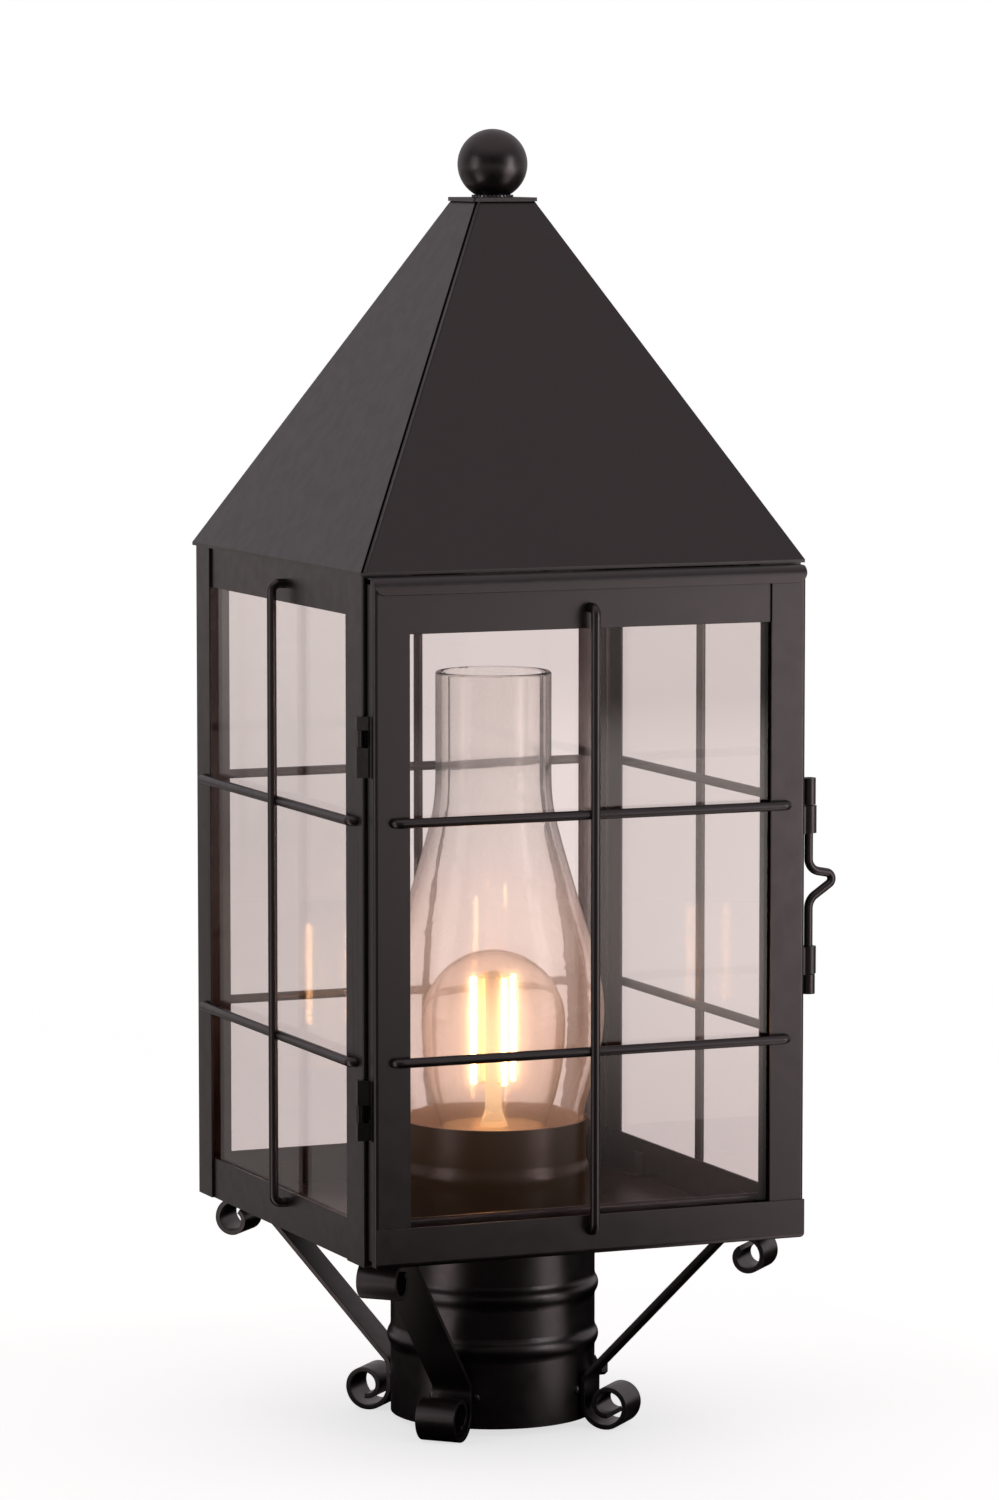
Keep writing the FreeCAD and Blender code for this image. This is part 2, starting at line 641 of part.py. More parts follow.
def roof_sheet():
    """The roof's front and right faces in one sheet, bent at the hip between them, with an eave band
    and a ledge that sits on the posts. Its left edge is rolled where it meets the other sheet."""
    eave = BODY_TOP + EAVE_BAND
    slope = math.hypot(ROOF_TOP - eave, ROOF_HALF - ROOF_TOP_HALF) / (ROOF_TOP - eave)
    wall = ROOF_SHEET * slope
    outer = box(-ROOF_HALF, ROOF_HALF, -ROOF_HALF, ROOF_HALF, BODY_TOP, eave)
    outer = outer.fuse(pyramid(ROOF_HALF, eave, ROOF_TOP_HALF, ROOF_TOP)).removeSplitter()
    spread = (ROOF_HALF - ROOF_TOP_HALF) / (ROOF_TOP - eave)
    inner_top = ROOF_TOP - ROOF_SHEET
    band_half = ROOF_HALF - wall
    inner = box(-band_half, band_half, -band_half, band_half, BODY_TOP + ROOF_SHEET, eave)
    inner_top_half = ROOF_TOP_HALF + ROOF_SHEET * spread - wall
    inner = inner.fuse(pyramid(band_half, eave, inner_top_half, inner_top))
    mouth = ROOF_HALF - ROOF_LEDGE
    shell = outer.cut(inner).cut(box(-mouth, mouth, -mouth, mouth, BODY_TOP, BODY_TOP + ROOF_SHEET))
    shell = shell.cut(drum(STUD_RADIUS + HOLE_GAP, inner_top, ROOF_TOP))
    corners = [V(-ROOF_HALF, -ROOF_HALF, BODY_TOP), V(ROOF_HALF, -ROOF_HALF, BODY_TOP)]
    corners.append(V(ROOF_HALF, ROOF_HALF, BODY_TOP))
    half = Part.Face(Part.makePolygon(corners + corners[:1])).extrude(V(0, 0, ROOF_TOP - BODY_TOP))
    return shell.common(half).fuse(hip_seam()).removeSplitter()


def roof_cap_plate():
    half = CAP_WIDTH / 2
    plate = box(-half, half, -half, half, ROOF_TOP, CAP_TOP)
    middle = (ROOF_TOP + CAP_TOP) / 2
    plate = rounded(plate, CAP_CORNER, *[V(x * half, y * half, middle) for x, y in CORNERS.values()])
    return plate.cut(drum(STUD_RADIUS + HOLE_GAP, ROOF_TOP, CAP_TOP))


def finial_ball():
    rise = math.sqrt(BALL_RADIUS**2 - BALL_NECK_RADIUS**2)
    middle = CAP_TOP + BALL_NECK_HEIGHT + rise
    neck = (BALL_NECK_RADIUS, CAP_TOP + BALL_NECK_HEIGHT)
    pole = (0.0, middle + BALL_RADIUS)
    edges = outline([pole, (0.0, CAP_TOP), (BALL_NECK_RADIUS, CAP_TOP), neck])
    edges.append(arc(neck, (BALL_RADIUS, middle), pole))
    thread = drum(STUD_RADIUS + THREAD_GAP, CAP_TOP, CAP_TOP + STUD_IN_BALL + THREAD_GAP)
    return revolved(edges).cut(thread)


def finial_nut():
    top = ROOF_TOP - ROOF_SHEET
    nut = hexagon(NUT_ACROSS_FLATS, top - NUT_HEIGHT, top)
    return nut.cut(drum(STUD_RADIUS + THREAD_GAP, top - NUT_HEIGHT, top))


def finial_stud():
    bottom = ROOF_TOP - ROOF_SHEET - NUT_HEIGHT - STUD_BELOW_NUT
    return drum(STUD_RADIUS, bottom, CAP_TOP + STUD_IN_BALL)


def door_block(inset):
    """The door's outer form drawn inward by inset, with rounded front edges and an open back."""
    half = DOOR_HALF - inset
    front = DOOR_FRONT + inset
    bottom = DOOR_BOTTOM + DOOR_TRIM + inset
    top = DOOR_TOP - DOOR_TRIM - inset
    middle = (bottom + top) / 2
    bend = DOOR_SHEET - inset
    block = box(-half, half, front, DOOR_BACK, bottom, top)
    plan = rounded(block, DOOR_SIDE_BEND + bend, V(-half, front, middle), V(half, front, middle))
    side = rounded(block, DOOR_TOP_BEND + bend, V(0, front, top))
    side = rounded(side, DOOR_BOTTOM_BEND + bend, V(0, front, bottom))
    return plan.common(side)


def door_frame():
    """The door's tray: a front sheet with a window, and flanges bent back on all four edges."""
    window = DOOR_HALF - DOOR_STILE
    low = DOOR_BOTTOM + DOOR_BOTTOM_HEIGHT - DOOR_TRIM_LAP
    high = DOOR_TOP - DOOR_CAP_HEIGHT + DOOR_TRIM_LAP
    tray = door_block(0.0).cut(door_block(DOOR_SHEET))
    tray = tray.cut(box(-window, window, DOOR_FRONT, DOOR_SHEET_BACK, low, high))
    inner = DOOR_HALF - DOOR_RELIEF
    relief_front = DOOR_FRONT + DOOR_SHEET + DOOR_SIDE_BEND + DOOR_RELIEF
    for x0, x1 in ((-DOOR_HALF, -inner), (inner, DOOR_HALF)):
        for z in (DOOR_BOTTOM + DOOR_TRIM, DOOR_TOP - DOOR_TRIM - DOOR_RELIEF):
            tray = tray.cut(box(x0, x1, relief_front, DOOR_BACK, z, z + DOOR_RELIEF))
    for x in (-DOOR_GUARD_HALF_SPAN, DOOR_GUARD_HALF_SPAN):
        for z in DOOR_GUARD_Z:
            tray = tray.cut(face_hole(x, DOOR_FRONT, z))
    return tray.cut(face_hole(DOOR_GUARD_OFFSET, DOOR_FRONT, DOOR_GUARD_BOTTOM))


def door_top_cap():
    """A strip over the door's top edge, with its two lower corners cut round."""
    roll = DOOR_TOP_BEND + DOOR_SHEET + DOOR_TRIM / 2
    low = DOOR_TOP - DOOR_CAP_HEIGHT
    level_run = DOOR_DEPTH + DOOR_TRIM / 2 - roll
    moves = [(DOOR_CAP_HEIGHT - DOOR_TRIM / 2 - roll, 0), (roll, -90), (level_run, 0)]
    strip = folded_strip((DOOR_FRONT - DOOR_TRIM / 2, low), 90, moves, DOOR_TRIM, -DOOR_HALF, DOOR_HALF)
    blank = box(-DOOR_HALF, DOOR_HALF, DOOR_FRONT - DOOR_TRIM, DOOR_BACK, low, DOOR_TOP)
    middle = (DOOR_FRONT + DOOR_BACK) / 2
    blank = rounded(blank, DOOR_CAP_CORNER, V(-DOOR_HALF, middle, low), V(DOOR_HALF, middle, low))
    return strip.common(blank)


def door_bottom_rail():
    """A strip over the door's bottom edge, as wide as the door, with two round lower corners."""
    roll = DOOR_BOTTOM_BEND + DOOR_SHEET + DOOR_TRIM / 2
    top = DOOR_BOTTOM + DOOR_BOTTOM_HEIGHT
    level_run = DOOR_DEPTH + DOOR_TRIM / 2 - roll
    moves = [(DOOR_BOTTOM_HEIGHT - DOOR_TRIM / 2 - roll, 0), (roll, 90), (level_run, 0)]
    strip = folded_strip((DOOR_FRONT - DOOR_TRIM / 2, top), -90, moves, DOOR_TRIM, -DOOR_HALF, DOOR_HALF)
    blank = box(-DOOR_HALF, DOOR_HALF, DOOR_FRONT - DOOR_TRIM, DOOR_BACK, DOOR_BOTTOM, top)
    middle = (DOOR_FRONT + DOOR_BACK) / 2
    corners = [V(side * DOOR_HALF, middle, DOOR_BOTTOM) for side in (-1, 1)]
    blank = rounded(blank, DOOR_BOTTOM_CORNER, *corners)
    return strip.common(blank).cut(face_hole(DOOR_GUARD_OFFSET, DOOR_FRONT, DOOR_GUARD_BOTTOM))


def door_top_rail():
    """A flat strip behind the stiles, under the cap."""
    low = DOOR_TOP - DOOR_TOP_RAIL
    high = DOOR_TOP - DOOR_TRIM - DOOR_SHEET - DOOR_TOP_BEND
    rail = box(-DOOR_PANE_HALF, DOOR_PANE_HALF, DOOR_SHEET_BACK, DOOR_PANE_FRONT, low, high)
    return rail.cut(face_hole(DOOR_GUARD_OFFSET, DOOR_FRONT, DOOR_GUARD_TOP))


def door_glass():
    bottom = DOOR_BOTTOM + DOOR_TRIM + DOOR_SHEET
    top = DOOR_TOP - DOOR_TRIM - DOOR_SHEET - DOOR_PANE_GAP
    return box(-DOOR_PANE_HALF, DOOR_PANE_HALF, DOOR_PANE_FRONT, DOOR_PANE_FRONT + GLASS, bottom, top)


def door_glass_clips():
    """Angle clips on the door's side flanges that bear on the back of its pane."""
    wall = DOOR_INSIDE - CLIP_SHEET / 2
    tab = DOOR_PANE_FRONT + GLASS + CLIP_SHEET / 2
    middle = (BODY_BOTTOM + DOOR_TOP) / 2
    clips = []
    for side in (-1, 1):
        points = [(side * wall, DOOR_BACK), (side * wall, tab), (side * (wall - CLIP_BASE), tab)]
        for z in (middle - CLIP_SPACING, middle + CLIP_SPACING):
            clips.append(upright_sheet(points, CLIP_SHEET, z - CLIP_WIDTH / 2, z + CLIP_WIDTH / 2))
    return clips


def hinge_levels(base, knuckle_base):
    """The lowest and highest Z of one hinge, with its middle knuckle's between them."""
    bottom = BODY_BOTTOM + base
    low = bottom + knuckle_base
    return bottom, low, low + FRAME_KNUCKLE_HEIGHT, bottom + HINGE_HEIGHT


def hinge_frame_leaf(base, knuckle_base):
    """A flat leaf on the front left post with one knuckle rolled at its edge."""
    bottom, low, high, top = hinge_levels(base, knuckle_base)
    clear = -HALF + FOLD_RADIUS
    leaf = box(clear, clear + FRAME_LEAF_LENGTH, HINGE_Y, -HALF, bottom, top)
    tongue = box(HINGE_X, clear, HINGE_Y, -HALF, low, high)
    knuckle = drum(KNUCKLE_RADIUS, low, high, HINGE_X, HINGE_Y)
    leaf = leaf.fuse([tongue, knuckle]).removeSplitter()
    return leaf.cut(drum(PIN_RADIUS, low, high, HINGE_X, HINGE_Y))


def hinge_door_leaf(base, knuckle_base):
    """A cranked leaf from the knuckles to the door's side flange."""
    bottom, low, high, top = hinge_levels(base, knuckle_base)
    plate = -DOOR_HALF - LEAF_THICKNESS / 2
    roll = KNUCKLE_RADIUS - LEAF_THICKNESS / 2
    shoulder = DOOR_BACK - LEAF_THICKNESS
    heel = shoulder - DOOR_LEAF_CRANK
    end = heel - DOOR_LEAF_LENGTH
    path = [(HINGE_X - roll, HINGE_Y), (HINGE_X - roll, shoulder), (plate, heel), (plate, end)]
    spine = box(-DOOR_HALF - LEAF_THICKNESS, -DOOR_HALF, end, heel, bottom, top)
    leaf = spine.cut(box(HINGE_X, 0, (end + heel) / 2, 0, low, high))
    bore = drum(PIN_RADIUS + PIN_GAP, bottom, top, HINGE_X, HINGE_Y)
    for z0, z1 in ((bottom, low - KNUCKLE_GAP), (high + KNUCKLE_GAP, top)):
        crank = upright_sheet(path, LEAF_THICKNESS, z0, z1)
        leaf = leaf.fuse([crank, drum(KNUCKLE_RADIUS, z0, z1, HINGE_X, HINGE_Y)])
    return leaf.cut(bore).removeSplitter()


def hinge_pin(base, knuckle_base):
    bottom, _, _, top = hinge_levels(base, knuckle_base)
    return drum(PIN_RADIUS, bottom, top, HINGE_X, HINGE_Y)


def latch_knuckle(z0, z1):
    """A rolled sleeve on a leaf that lies on the door's side flange."""
    front = LATCH_Y - LATCH_LEAF_LENGTH
    leaf = box(DOOR_HALF, DOOR_HALF + LATCH_PLATE, front, LATCH_Y, z0, z1)
    web = box(DOOR_HALF, LATCH_X, LATCH_Y - LATCH_WIRE_RADIUS, LATCH_Y, z0, z1)
    knuckle = leaf.fuse([web, drum(LATCH_KNUCKLE_RADIUS, z0, z1, LATCH_X, LATCH_Y)])
    return knuckle.cut(drum(LATCH_WIRE_RADIUS + LATCH_GAP, z0, z1, LATCH_X, LATCH_Y)).removeSplitter()


def latch_keeper(z0, z1):
    """A rolled eye for the wire's end, on a leaf that lies on the front right post's side."""
    leaf = box(HALF, HALF + LATCH_PLATE, LATCH_Y, LATCH_Y + LATCH_KEEPER_LEAF, z0, z1)
    eye = drum(LATCH_KEEPER_RADIUS, z0, z1, LATCH_X, LATCH_Y)
    keeper = leaf.fuse(eye)
    return keeper.cut(drum(LATCH_WIRE_RADIUS + LATCH_GAP, z0, z1, LATCH_X, LATCH_Y)).removeSplitter()


def latch_wire():
    """A round wire with a finger grip bent out of its middle; its ends stop inside the sleeves."""
    top = LATCH_LENGTH - LATCH_END_GAP
    heights = (top, LATCH_GRIP_TOP, LATCH_GRIP_TIP, LATCH_GRIP_BOTTOM, LATCH_END_GAP)
    reaches = (0.0, 0.0, LATCH_GRIP_REACH, 0.0, 0.0)
    points = [V(LATCH_X + out, LATCH_Y, LATCH_Z + up) for out, up in zip(reaches, heights)]
    return bent_wire(points, LATCH_GRIP_BENDS, LATCH_WIRE_RADIUS)


def chimney_holder():
    """A spun cup with a rolled bead and a raised band at its rim."""
    top = FLOOR_TOP + HOLDER_HEIGHT
    band = top - HOLDER_BAND
    bore = HOLDER_RADIUS - HOLDER_WALL
    hole = NIPPLE_RADIUS + HOLE_GAP
    bead = [FLOOR_TOP + HOLDER_BEAD]
    edges = beaded_side(HOLDER_RADIUS, FLOOR_TOP, band, bead, HOLDER_BEAD_PROUD, HOLDER_BEAD_HALF)
    edges += beaded_side(bore, HOLDER_FLOOR, top, bead, HOLDER_BEAD_PROUD, HOLDER_BEAD_HALF)
    lip = HOLDER_RADIUS + HOLDER_BAND_PROUD
    edges += outline([(HOLDER_RADIUS, band), (lip, band), (lip, top), (bore, top)])
    edges += outline([(HOLDER_RADIUS, FLOOR_TOP), (hole, FLOOR_TOP), (hole, HOLDER_FLOOR)])
    edges.append(line((hole, HOLDER_FLOOR), (bore, HOLDER_FLOOR)))
    return revolved(edges)


def chimney_side(inset):
    """The chimney's wall line from its seat to its mouth, drawn inward by inset."""
    base = HOLDER_RADIUS - HOLDER_WALL - CHIMNEY_SEAT_GAP - inset
    neck = CHIMNEY_NECK_RADIUS - inset
    shoulder = (base, HOLDER_FLOOR + CHIMNEY_COLLAR)
    throat = (neck, HOLDER_FLOOR + CHIMNEY_NECK_START)
    belly = [(radius - inset, HOLDER_FLOOR + height) for radius, height in CHIMNEY_BELLY]
    edges = [line((base, HOLDER_FLOOR), shoulder)]
    edges.append(curve([shoulder] + belly + [throat], (0, 1), (0, 1)))
    edges.append(line(throat, (neck, HOLDER_FLOOR + CHIMNEY_HEIGHT)))
    return edges


def chimney_glass():
    base = HOLDER_RADIUS - HOLDER_WALL - CHIMNEY_SEAT_GAP
    top = HOLDER_FLOOR + CHIMNEY_HEIGHT
    neck = CHIMNEY_NECK_RADIUS
    edges = chimney_side(0.0) + chimney_side(CHIMNEY_WALL)
    edges.append(line((base, HOLDER_FLOOR), (base - CHIMNEY_WALL, HOLDER_FLOOR)))
    rim = (neck - CHIMNEY_WALL / 2, top + CHIMNEY_WALL / 2)
    edges.append(arc((neck, top), rim, (neck - CHIMNEY_WALL, top)))
    return revolved(edges)


def lamp_socket():
    body = drum(SOCKET_RADIUS, HOLDER_FLOOR, SOCKET_TOP)
    body = body.cut(drum(SHELL_RADIUS + SHELL_GAP, SOCKET_FLOOR, SOCKET_TOP))
    return body.cut(drum(NIPPLE_RADIUS + THREAD_GAP, HOLDER_FLOOR, SOCKET_FLOOR))


def socket_shell():
    top = SOCKET_TOP - SHELL_WALL
    return drum(SHELL_RADIUS, SOCKET_FLOOR, top).cut(drum(SHELL_RADIUS - SHELL_WALL, SOCKET_FLOOR, top))


def lamp_nipple():
    """A short threaded pipe that carries the wiring through the floor."""
    bottom = BODY_BOTTOM - NIPPLE_BELOW
    top = SOCKET_FLOOR - NIPPLE_TOP_GAP
    return drum(NIPPLE_RADIUS, bottom, top).cut(drum(NIPPLE_BORE, bottom, top))


def lamp_locknut():
    bottom = BODY_BOTTOM - LOCKNUT_HEIGHT
    nut = hexagon(LOCKNUT_ACROSS_FLATS, bottom, BODY_BOTTOM)
    return nut.cut(drum(NIPPLE_RADIUS + THREAD_GAP, bottom, BODY_BOTTOM))


def lamp_cap():
    """The lamp's screw base with its centre contact."""
    shoulder = SOCKET_FLOOR + LAMP_TIP_HEIGHT
    points = [(0.0, SOCKET_FLOOR), (LAMP_TIP_RADIUS, SOCKET_FLOOR), (LAMP_TIP_RADIUS, shoulder)]
    points += [(LAMP_CAP_RADIUS, shoulder), (LAMP_CAP_RADIUS, LAMP_BASE), (0.0, LAMP_BASE)]
    return revolved_points(points)


def lamp_collar():
    flare = LAMP_BASE + COLLAR_FLARE
    points = [(0.0, LAMP_BASE), (LAMP_CAP_RADIUS, LAMP_BASE), (BULB_NECK_RADIUS, flare)]
    points += [(BULB_NECK_RADIUS, COLLAR_TOP), (0.0, COLLAR_TOP)]
    return revolved_points(points)


def bulb_side(inset):
    """The bulb's wall line, drawn inward by inset: a long arc up from the neck, then a round crown."""
    centre = COLLAR_TOP + BULB_CENTRE
    waist = BULB_RADIUS - BULB_NECK_RADIUS
    sweep = (waist**2 + BULB_CENTRE**2) / (2 * waist)
    radius = BULB_RADIUS - inset

    def swell(below):
        return (BULB_RADIUS - sweep + math.sqrt((sweep - inset) ** 2 - below**2), centre - below)

    slant = radius * math.sqrt(0.5)
    side = arc(swell(BULB_CENTRE), swell(BULB_CENTRE / 2), (radius, centre))
    crown = arc((radius, centre), (slant, centre + slant), (0.0, centre + radius))
    return swell(BULB_CENTRE), [side, crown]


def bulb_glass():
    neck, outside = bulb_side(0.0)
    inner_neck, inside = bulb_side(BULB_WALL)
    edges = outside + inside
    edges.append(line(neck, inner_neck))
    edges.append(line((0.0, BULB_TOP), (0.0, BULB_TOP - BULB_WALL)))
    return revolved(edges)


def bulb_stem():
    """The glass stem that carries the filaments."""
    flare = COLLAR_TOP + STEM_FLARE_HEIGHT
    points = [(0.0, COLLAR_TOP), (STEM_FLARE_RADIUS, COLLAR_TOP), (STEM_RADIUS, flare)]
    return revolved_points(points + [(STEM_RADIUS, STEM_TOP), (0.0, STEM_TOP)])


def bulb_filament(angle):
    """One upright filament on thin leads that end on the stem."""
    low = COLLAR_TOP + FILAMENT_BOTTOM
    high = STEM_TOP - FILAMENT_TOP_INSET
    rod = drum(FILAMENT_RADIUS, low, high, FILAMENT_CIRCLE, 0.0)
    reach = FILAMENT_CIRCLE - STEM_RADIUS
    top_lead = Part.makeCylinder(LEAD_RADIUS, reach, V(STEM_RADIUS, 0, high - LEAD_RADIUS), V(1, 0, 0))
    low_lead = Part.makeCylinder(LEAD_RADIUS, reach, V(STEM_RADIUS, 0, low + LEAD_RADIUS), V(1, 0, 0))
    filament = rod.fuse([top_lead, low_lead]).removeSplitter()
    return turned(filament.cut(drum(STEM_RADIUS, low, high)), angle)


def side_faces():
    """Rails, panes and guard wires of the three fixed faces, each made at the front and turned."""
    clips = []
    low = BODY_BOTTOM + GUARD_BOTTOM_INSET
    high = BODY_TOP - GUARD_TOP_INSET
    for name, angle in FACES.items():
        offset = GUARD_UPRIGHT_OFFSETS[name]
        half_length, ledge_half = POST_INSIDE, RAIL_INSIDE
        if name == "back":
            half_length, ledge_half = RAIL_INSIDE, POST_INSIDE - TOP_RAIL_FLANGE
        upright = upright_guard(-HALF, offset, low, high, 2 * SHEET, GUARD_Z)
        centre = GUARD_LEVEL_OFFSETS[name]
        levels = [level_guard(-HALF, centre, GUARD_HALF_SPAN, z, SHEET) for z in GUARD_Z]
        save("bottom_rail_" + name, turned(bottom_rail(half_length, offset), angle))
        save("top_rail_" + name, turned(top_rail(half_length, ledge_half, offset), angle))
        save("glass_" + name, turned(pane(), angle))
        save("guard_upright_" + name, turned(upright, angle))
        save("guard_levels_" + name, turned(Part.makeCompound(levels), angle))
        clips += [turned(clip, angle) for clip in pane_clips()]
    save("glass_clips_body", Part.makeCompound(clips))


def body_pieces():
    save("post_fitter", post_fitter())
    save("fitter_nuts", Part.makeCompound([fitter_nut(angle) for angle in SCREW_ANGLES]))
    save("set_screws", Part.makeCompound([set_screw(angle) for angle in SCREW_ANGLES]))
    save("floor_plate", floor_plate())
    bracket = scroll_bracket()
    for name, (x, y) in CORNERS.items():
        save("scroll_bracket_" + name, turned(bracket, math.degrees(math.atan2(y, x))))
        save("corner_post_" + name, corner_post(x, y))
    save("front_sill", front_sill())
    save("roof_front_sheet", roof_sheet())
    save("roof_back_sheet", turned(roof_sheet(), 180.0))
    save("roof_cap_plate", roof_cap_plate())
    save("finial_ball", finial_ball())
    save("finial_stud", finial_stud())
    save("finial_nut", finial_nut())


def door_pieces():
    span = DOOR_GUARD_HALF_SPAN
    through = DOOR_PANE_FRONT - DOOR_FRONT
    ends = (DOOR_GUARD_BOTTOM, DOOR_GUARD_TOP)
    upright = upright_guard(DOOR_FRONT, DOOR_GUARD_OFFSET, *ends, through, DOOR_GUARD_Z)
    save("door_frame", door_frame())
    save("door_top_cap", door_top_cap())
    save("door_top_rail", door_top_rail())
    save("door_bottom_rail", door_bottom_rail())
    save("door_glass", door_glass())
    save("door_glass_clips", Part.makeCompound(door_glass_clips()))
    save("guard_upright_door", upright)
    levels = [level_guard(DOOR_FRONT, 0.0, span, z, DOOR_SHEET) for z in DOOR_GUARD_Z]
    save("guard_levels_door", Part.makeCompound(levels))


def hinge_and_latch_pieces():
    save("hinge_frame_leaves", Part.makeCompound([hinge_frame_leaf(*hinge) for hinge in HINGES]))
    save("hinge_door_leaves", Part.makeCompound([hinge_door_leaf(*hinge) for hinge in HINGES]))
    save("hinge_pins", Part.makeCompound([hinge_pin(*hinge) for hinge in HINGES]))
    top = LATCH_TOP + LATCH_END_GAP
    bottom = LATCH_Z - LATCH_END_GAP
    low_knuckle = latch_knuckle(LATCH_Z, LATCH_Z + LATCH_KNUCKLE_HEIGHT)
    high_knuckle = latch_knuckle(LATCH_TOP - LATCH_KNUCKLE_HEIGHT, LATCH_TOP)
    low_keeper = latch_keeper(bottom - LATCH_LOWER_KEEPER_HEIGHT, bottom)
    high_keeper = latch_keeper(top, top + LATCH_UPPER_KEEPER_HEIGHT)
    save("latch_sleeves", Part.makeCompound([low_knuckle, high_knuckle]))
    save("latch_keepers", Part.makeCompound([low_keeper, high_keeper]))
    save("latch_wire", latch_wire())


def lamp_pieces():
    save("chimney_holder", chimney_holder())
    save("chimney_glass", chimney_glass())
    save("lamp_socket", lamp_socket())
    save("socket_shell", socket_shell())
    save("lamp_nipple", lamp_nipple())
    save("lamp_locknut", lamp_locknut())
    save("lamp_cap", lamp_cap())
    save("lamp_collar", lamp_collar())
    save("bulb_glass", bulb_glass())
    save("bulb_stem", bulb_stem())
    angles = [FILAMENT_TURN + 360 / FILAMENT_COUNT * step for step in range(FILAMENT_COUNT)]
    save("bulb_filaments", Part.makeCompound([bulb_filament(angle) for angle in angles]))


os.makedirs("parts", exist_ok=True)
body_pieces()
side_faces()
door_pieces()
hinge_and_latch_pieces()
lamp_pieces()
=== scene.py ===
import bmesh
import bpy
import math
from mathutils import Matrix, Vector


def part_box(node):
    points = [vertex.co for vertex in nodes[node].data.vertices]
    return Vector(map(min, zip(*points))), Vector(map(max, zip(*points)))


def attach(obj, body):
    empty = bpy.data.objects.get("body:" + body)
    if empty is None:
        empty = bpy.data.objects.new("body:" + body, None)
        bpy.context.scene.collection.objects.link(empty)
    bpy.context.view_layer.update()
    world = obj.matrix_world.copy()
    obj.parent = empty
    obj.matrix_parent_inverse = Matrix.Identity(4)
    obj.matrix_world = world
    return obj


# The looks of a black post-top street lantern with a lit filament lamp. Lengths are in metres.

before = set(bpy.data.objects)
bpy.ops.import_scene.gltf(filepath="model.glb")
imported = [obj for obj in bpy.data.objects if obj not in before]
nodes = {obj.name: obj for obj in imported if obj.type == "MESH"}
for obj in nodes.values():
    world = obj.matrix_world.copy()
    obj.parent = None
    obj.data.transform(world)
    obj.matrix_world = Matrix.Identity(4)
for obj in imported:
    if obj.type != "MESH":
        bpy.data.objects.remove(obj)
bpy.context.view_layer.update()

# Camera, worked out from the body's edges in the photograph
CAMERA_PLACE = (-0.918447, -2.193989, 0.501591)
CAMERA_AZIMUTH = math.radians(22.78)
CAMERA_ELEVATION = math.radians(5.847)
LENS_MM = 148.73
SENSOR_MM = 36.0
VIEW_END = 100.0

# Studio: the camera sees it white, and gloss sees it pale behind the lantern and above, and dim in front
BEHIND = Vector((0.36, 0.86, 0.36)).normalized()
BEHIND_SPAN = (-0.3, 0.75)
BEHIND_LIGHT = (0.04, 0.48)
ABOVE_SPAN = (0.25, 0.85)
ABOVE_LIGHT = (0.0, 0.48)
ROOM_COLOUR = (1.0, 0.92, 0.94)
WHITE = (1.0, 1.0, 1.0)
DARK = (0.0, 0.0, 0.0)

# Softboxes: name, direction from the post's axis, and brightness, where 1 looks white
SOFTBOXES = (
    ("right_softbox", Vector((0.643, -0.766, 0.0)), 1.8),
    ("left_softbox", Vector((-0.992, -0.125, 0.0)), 1.1),
)
SOFTBOX_DISTANCE = 2.1
SOFTBOX_HEIGHT = 0.62
SOFTBOX_WIDTH = 0.8
SOFTBOX_TALL = 1.2
WHITE_POWER = 4.0

# Floor: its glow grows with distance, so that it runs into the white behind it
FLOOR_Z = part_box("scroll_bracket_front_left")[0].z
FLOOR_SIZE = 24.0
FLOOR_COLOUR = (0.80, 0.80, 0.80)
FLOOR_ROUGHNESS = 0.9
FLOOR_NEAR = 0.3
FLOOR_FAR = 1.6
FLOOR_GLOW_SEEN = (0.68, 1.0)
FLOOR_FAR_MIRRORED = 4.0
FLOOR_GLOW_MIRRORED = (0.0, 0.46)

# Painted pools of light on the floor, seen only in gloss: direction from the post's axis, spread, the
# distances over which each comes up and goes down again, and brightness
PAINTED_LIGHT_POOLS = (
    (Vector((0.682, -0.731, 0.0)), (0.955, 0.995), (0.05, 0.2), (0.5, 1.3), 1.0),
    (Vector((-0.970, -0.242, 0.0)), (0.955, 0.995), (0.04, 0.22), (0.5, 1.3), 1.3),
    (Vector((0.669, -0.743, 0.0)), (0.89, 0.985), (0.4, 1.6), (2.6, 3.4), 2.2),
    (Vector((-0.39, 0.92, 0.0)), (0.6, 0.95), (0.15, 0.5), (1.2, 3.6), 0.28),
)
POOL_LEFT_OVER = 0.1
POOL_COLOUR = (1.0, 0.915, 0.875)

# Lit lamp. Its light on what is round it is also painted as a glow, in colours of its own on the glass and
# the stem, and the painted glow is full inside FULL_GLOW of its reach.
LAMP_MIDDLE = sum(corner.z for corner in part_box("bulb_filaments")) / 2
LAMP_COLOUR = (1.0, 0.53, 0.23)
GLASS_PAINTED_GLOW_COLOUR = (1.0, 0.54, 0.34)
STEM_PAINTED_GLOW_COLOUR = (1.0, 0.74, 0.44)
LAMP_POWER = 1.35
LAMP_RADIUS = 0.008
FULL_GLOW = 0.15

# Filaments: the weakest and strongest glow, and how far to the side each is reached. A rod's Y times
# FILAMENT_FRONT counts as such a distance too, so that rods in front glow. The coated rods are further
# than FILAMENT_INNER from the lamp's axis.
FILAMENT_GLOW = (0.9, 34.0)
FILAMENT_SIDES = (0.003, 0.006)
FILAMENT_FRONT = -0.45
FILAMENT_INNER = 0.0076
COATING_COLOUR = (0.9, 0.55, 0.2)

# Surfaces: the stretch of a noise that changes them, the paint's orange peel and the colour of its gloss,
# how deep metal is scratched, and the specks in hazy glass
NOISE_SPAN = (0.3, 0.7)
PAINT_GRAIN = 2600.0
PAINT_PEEL = 0.00004
PAINT_GLOSS = (1.0, 0.87, 0.905)
# how little gloss the crease's painted shade keeps
CREASE_SPECULAR = 0.05
METAL_SCRATCH = 0.00003
SPECK_GRAIN = 9000.0
SPECK_SPAN = (0.62, 0.70)

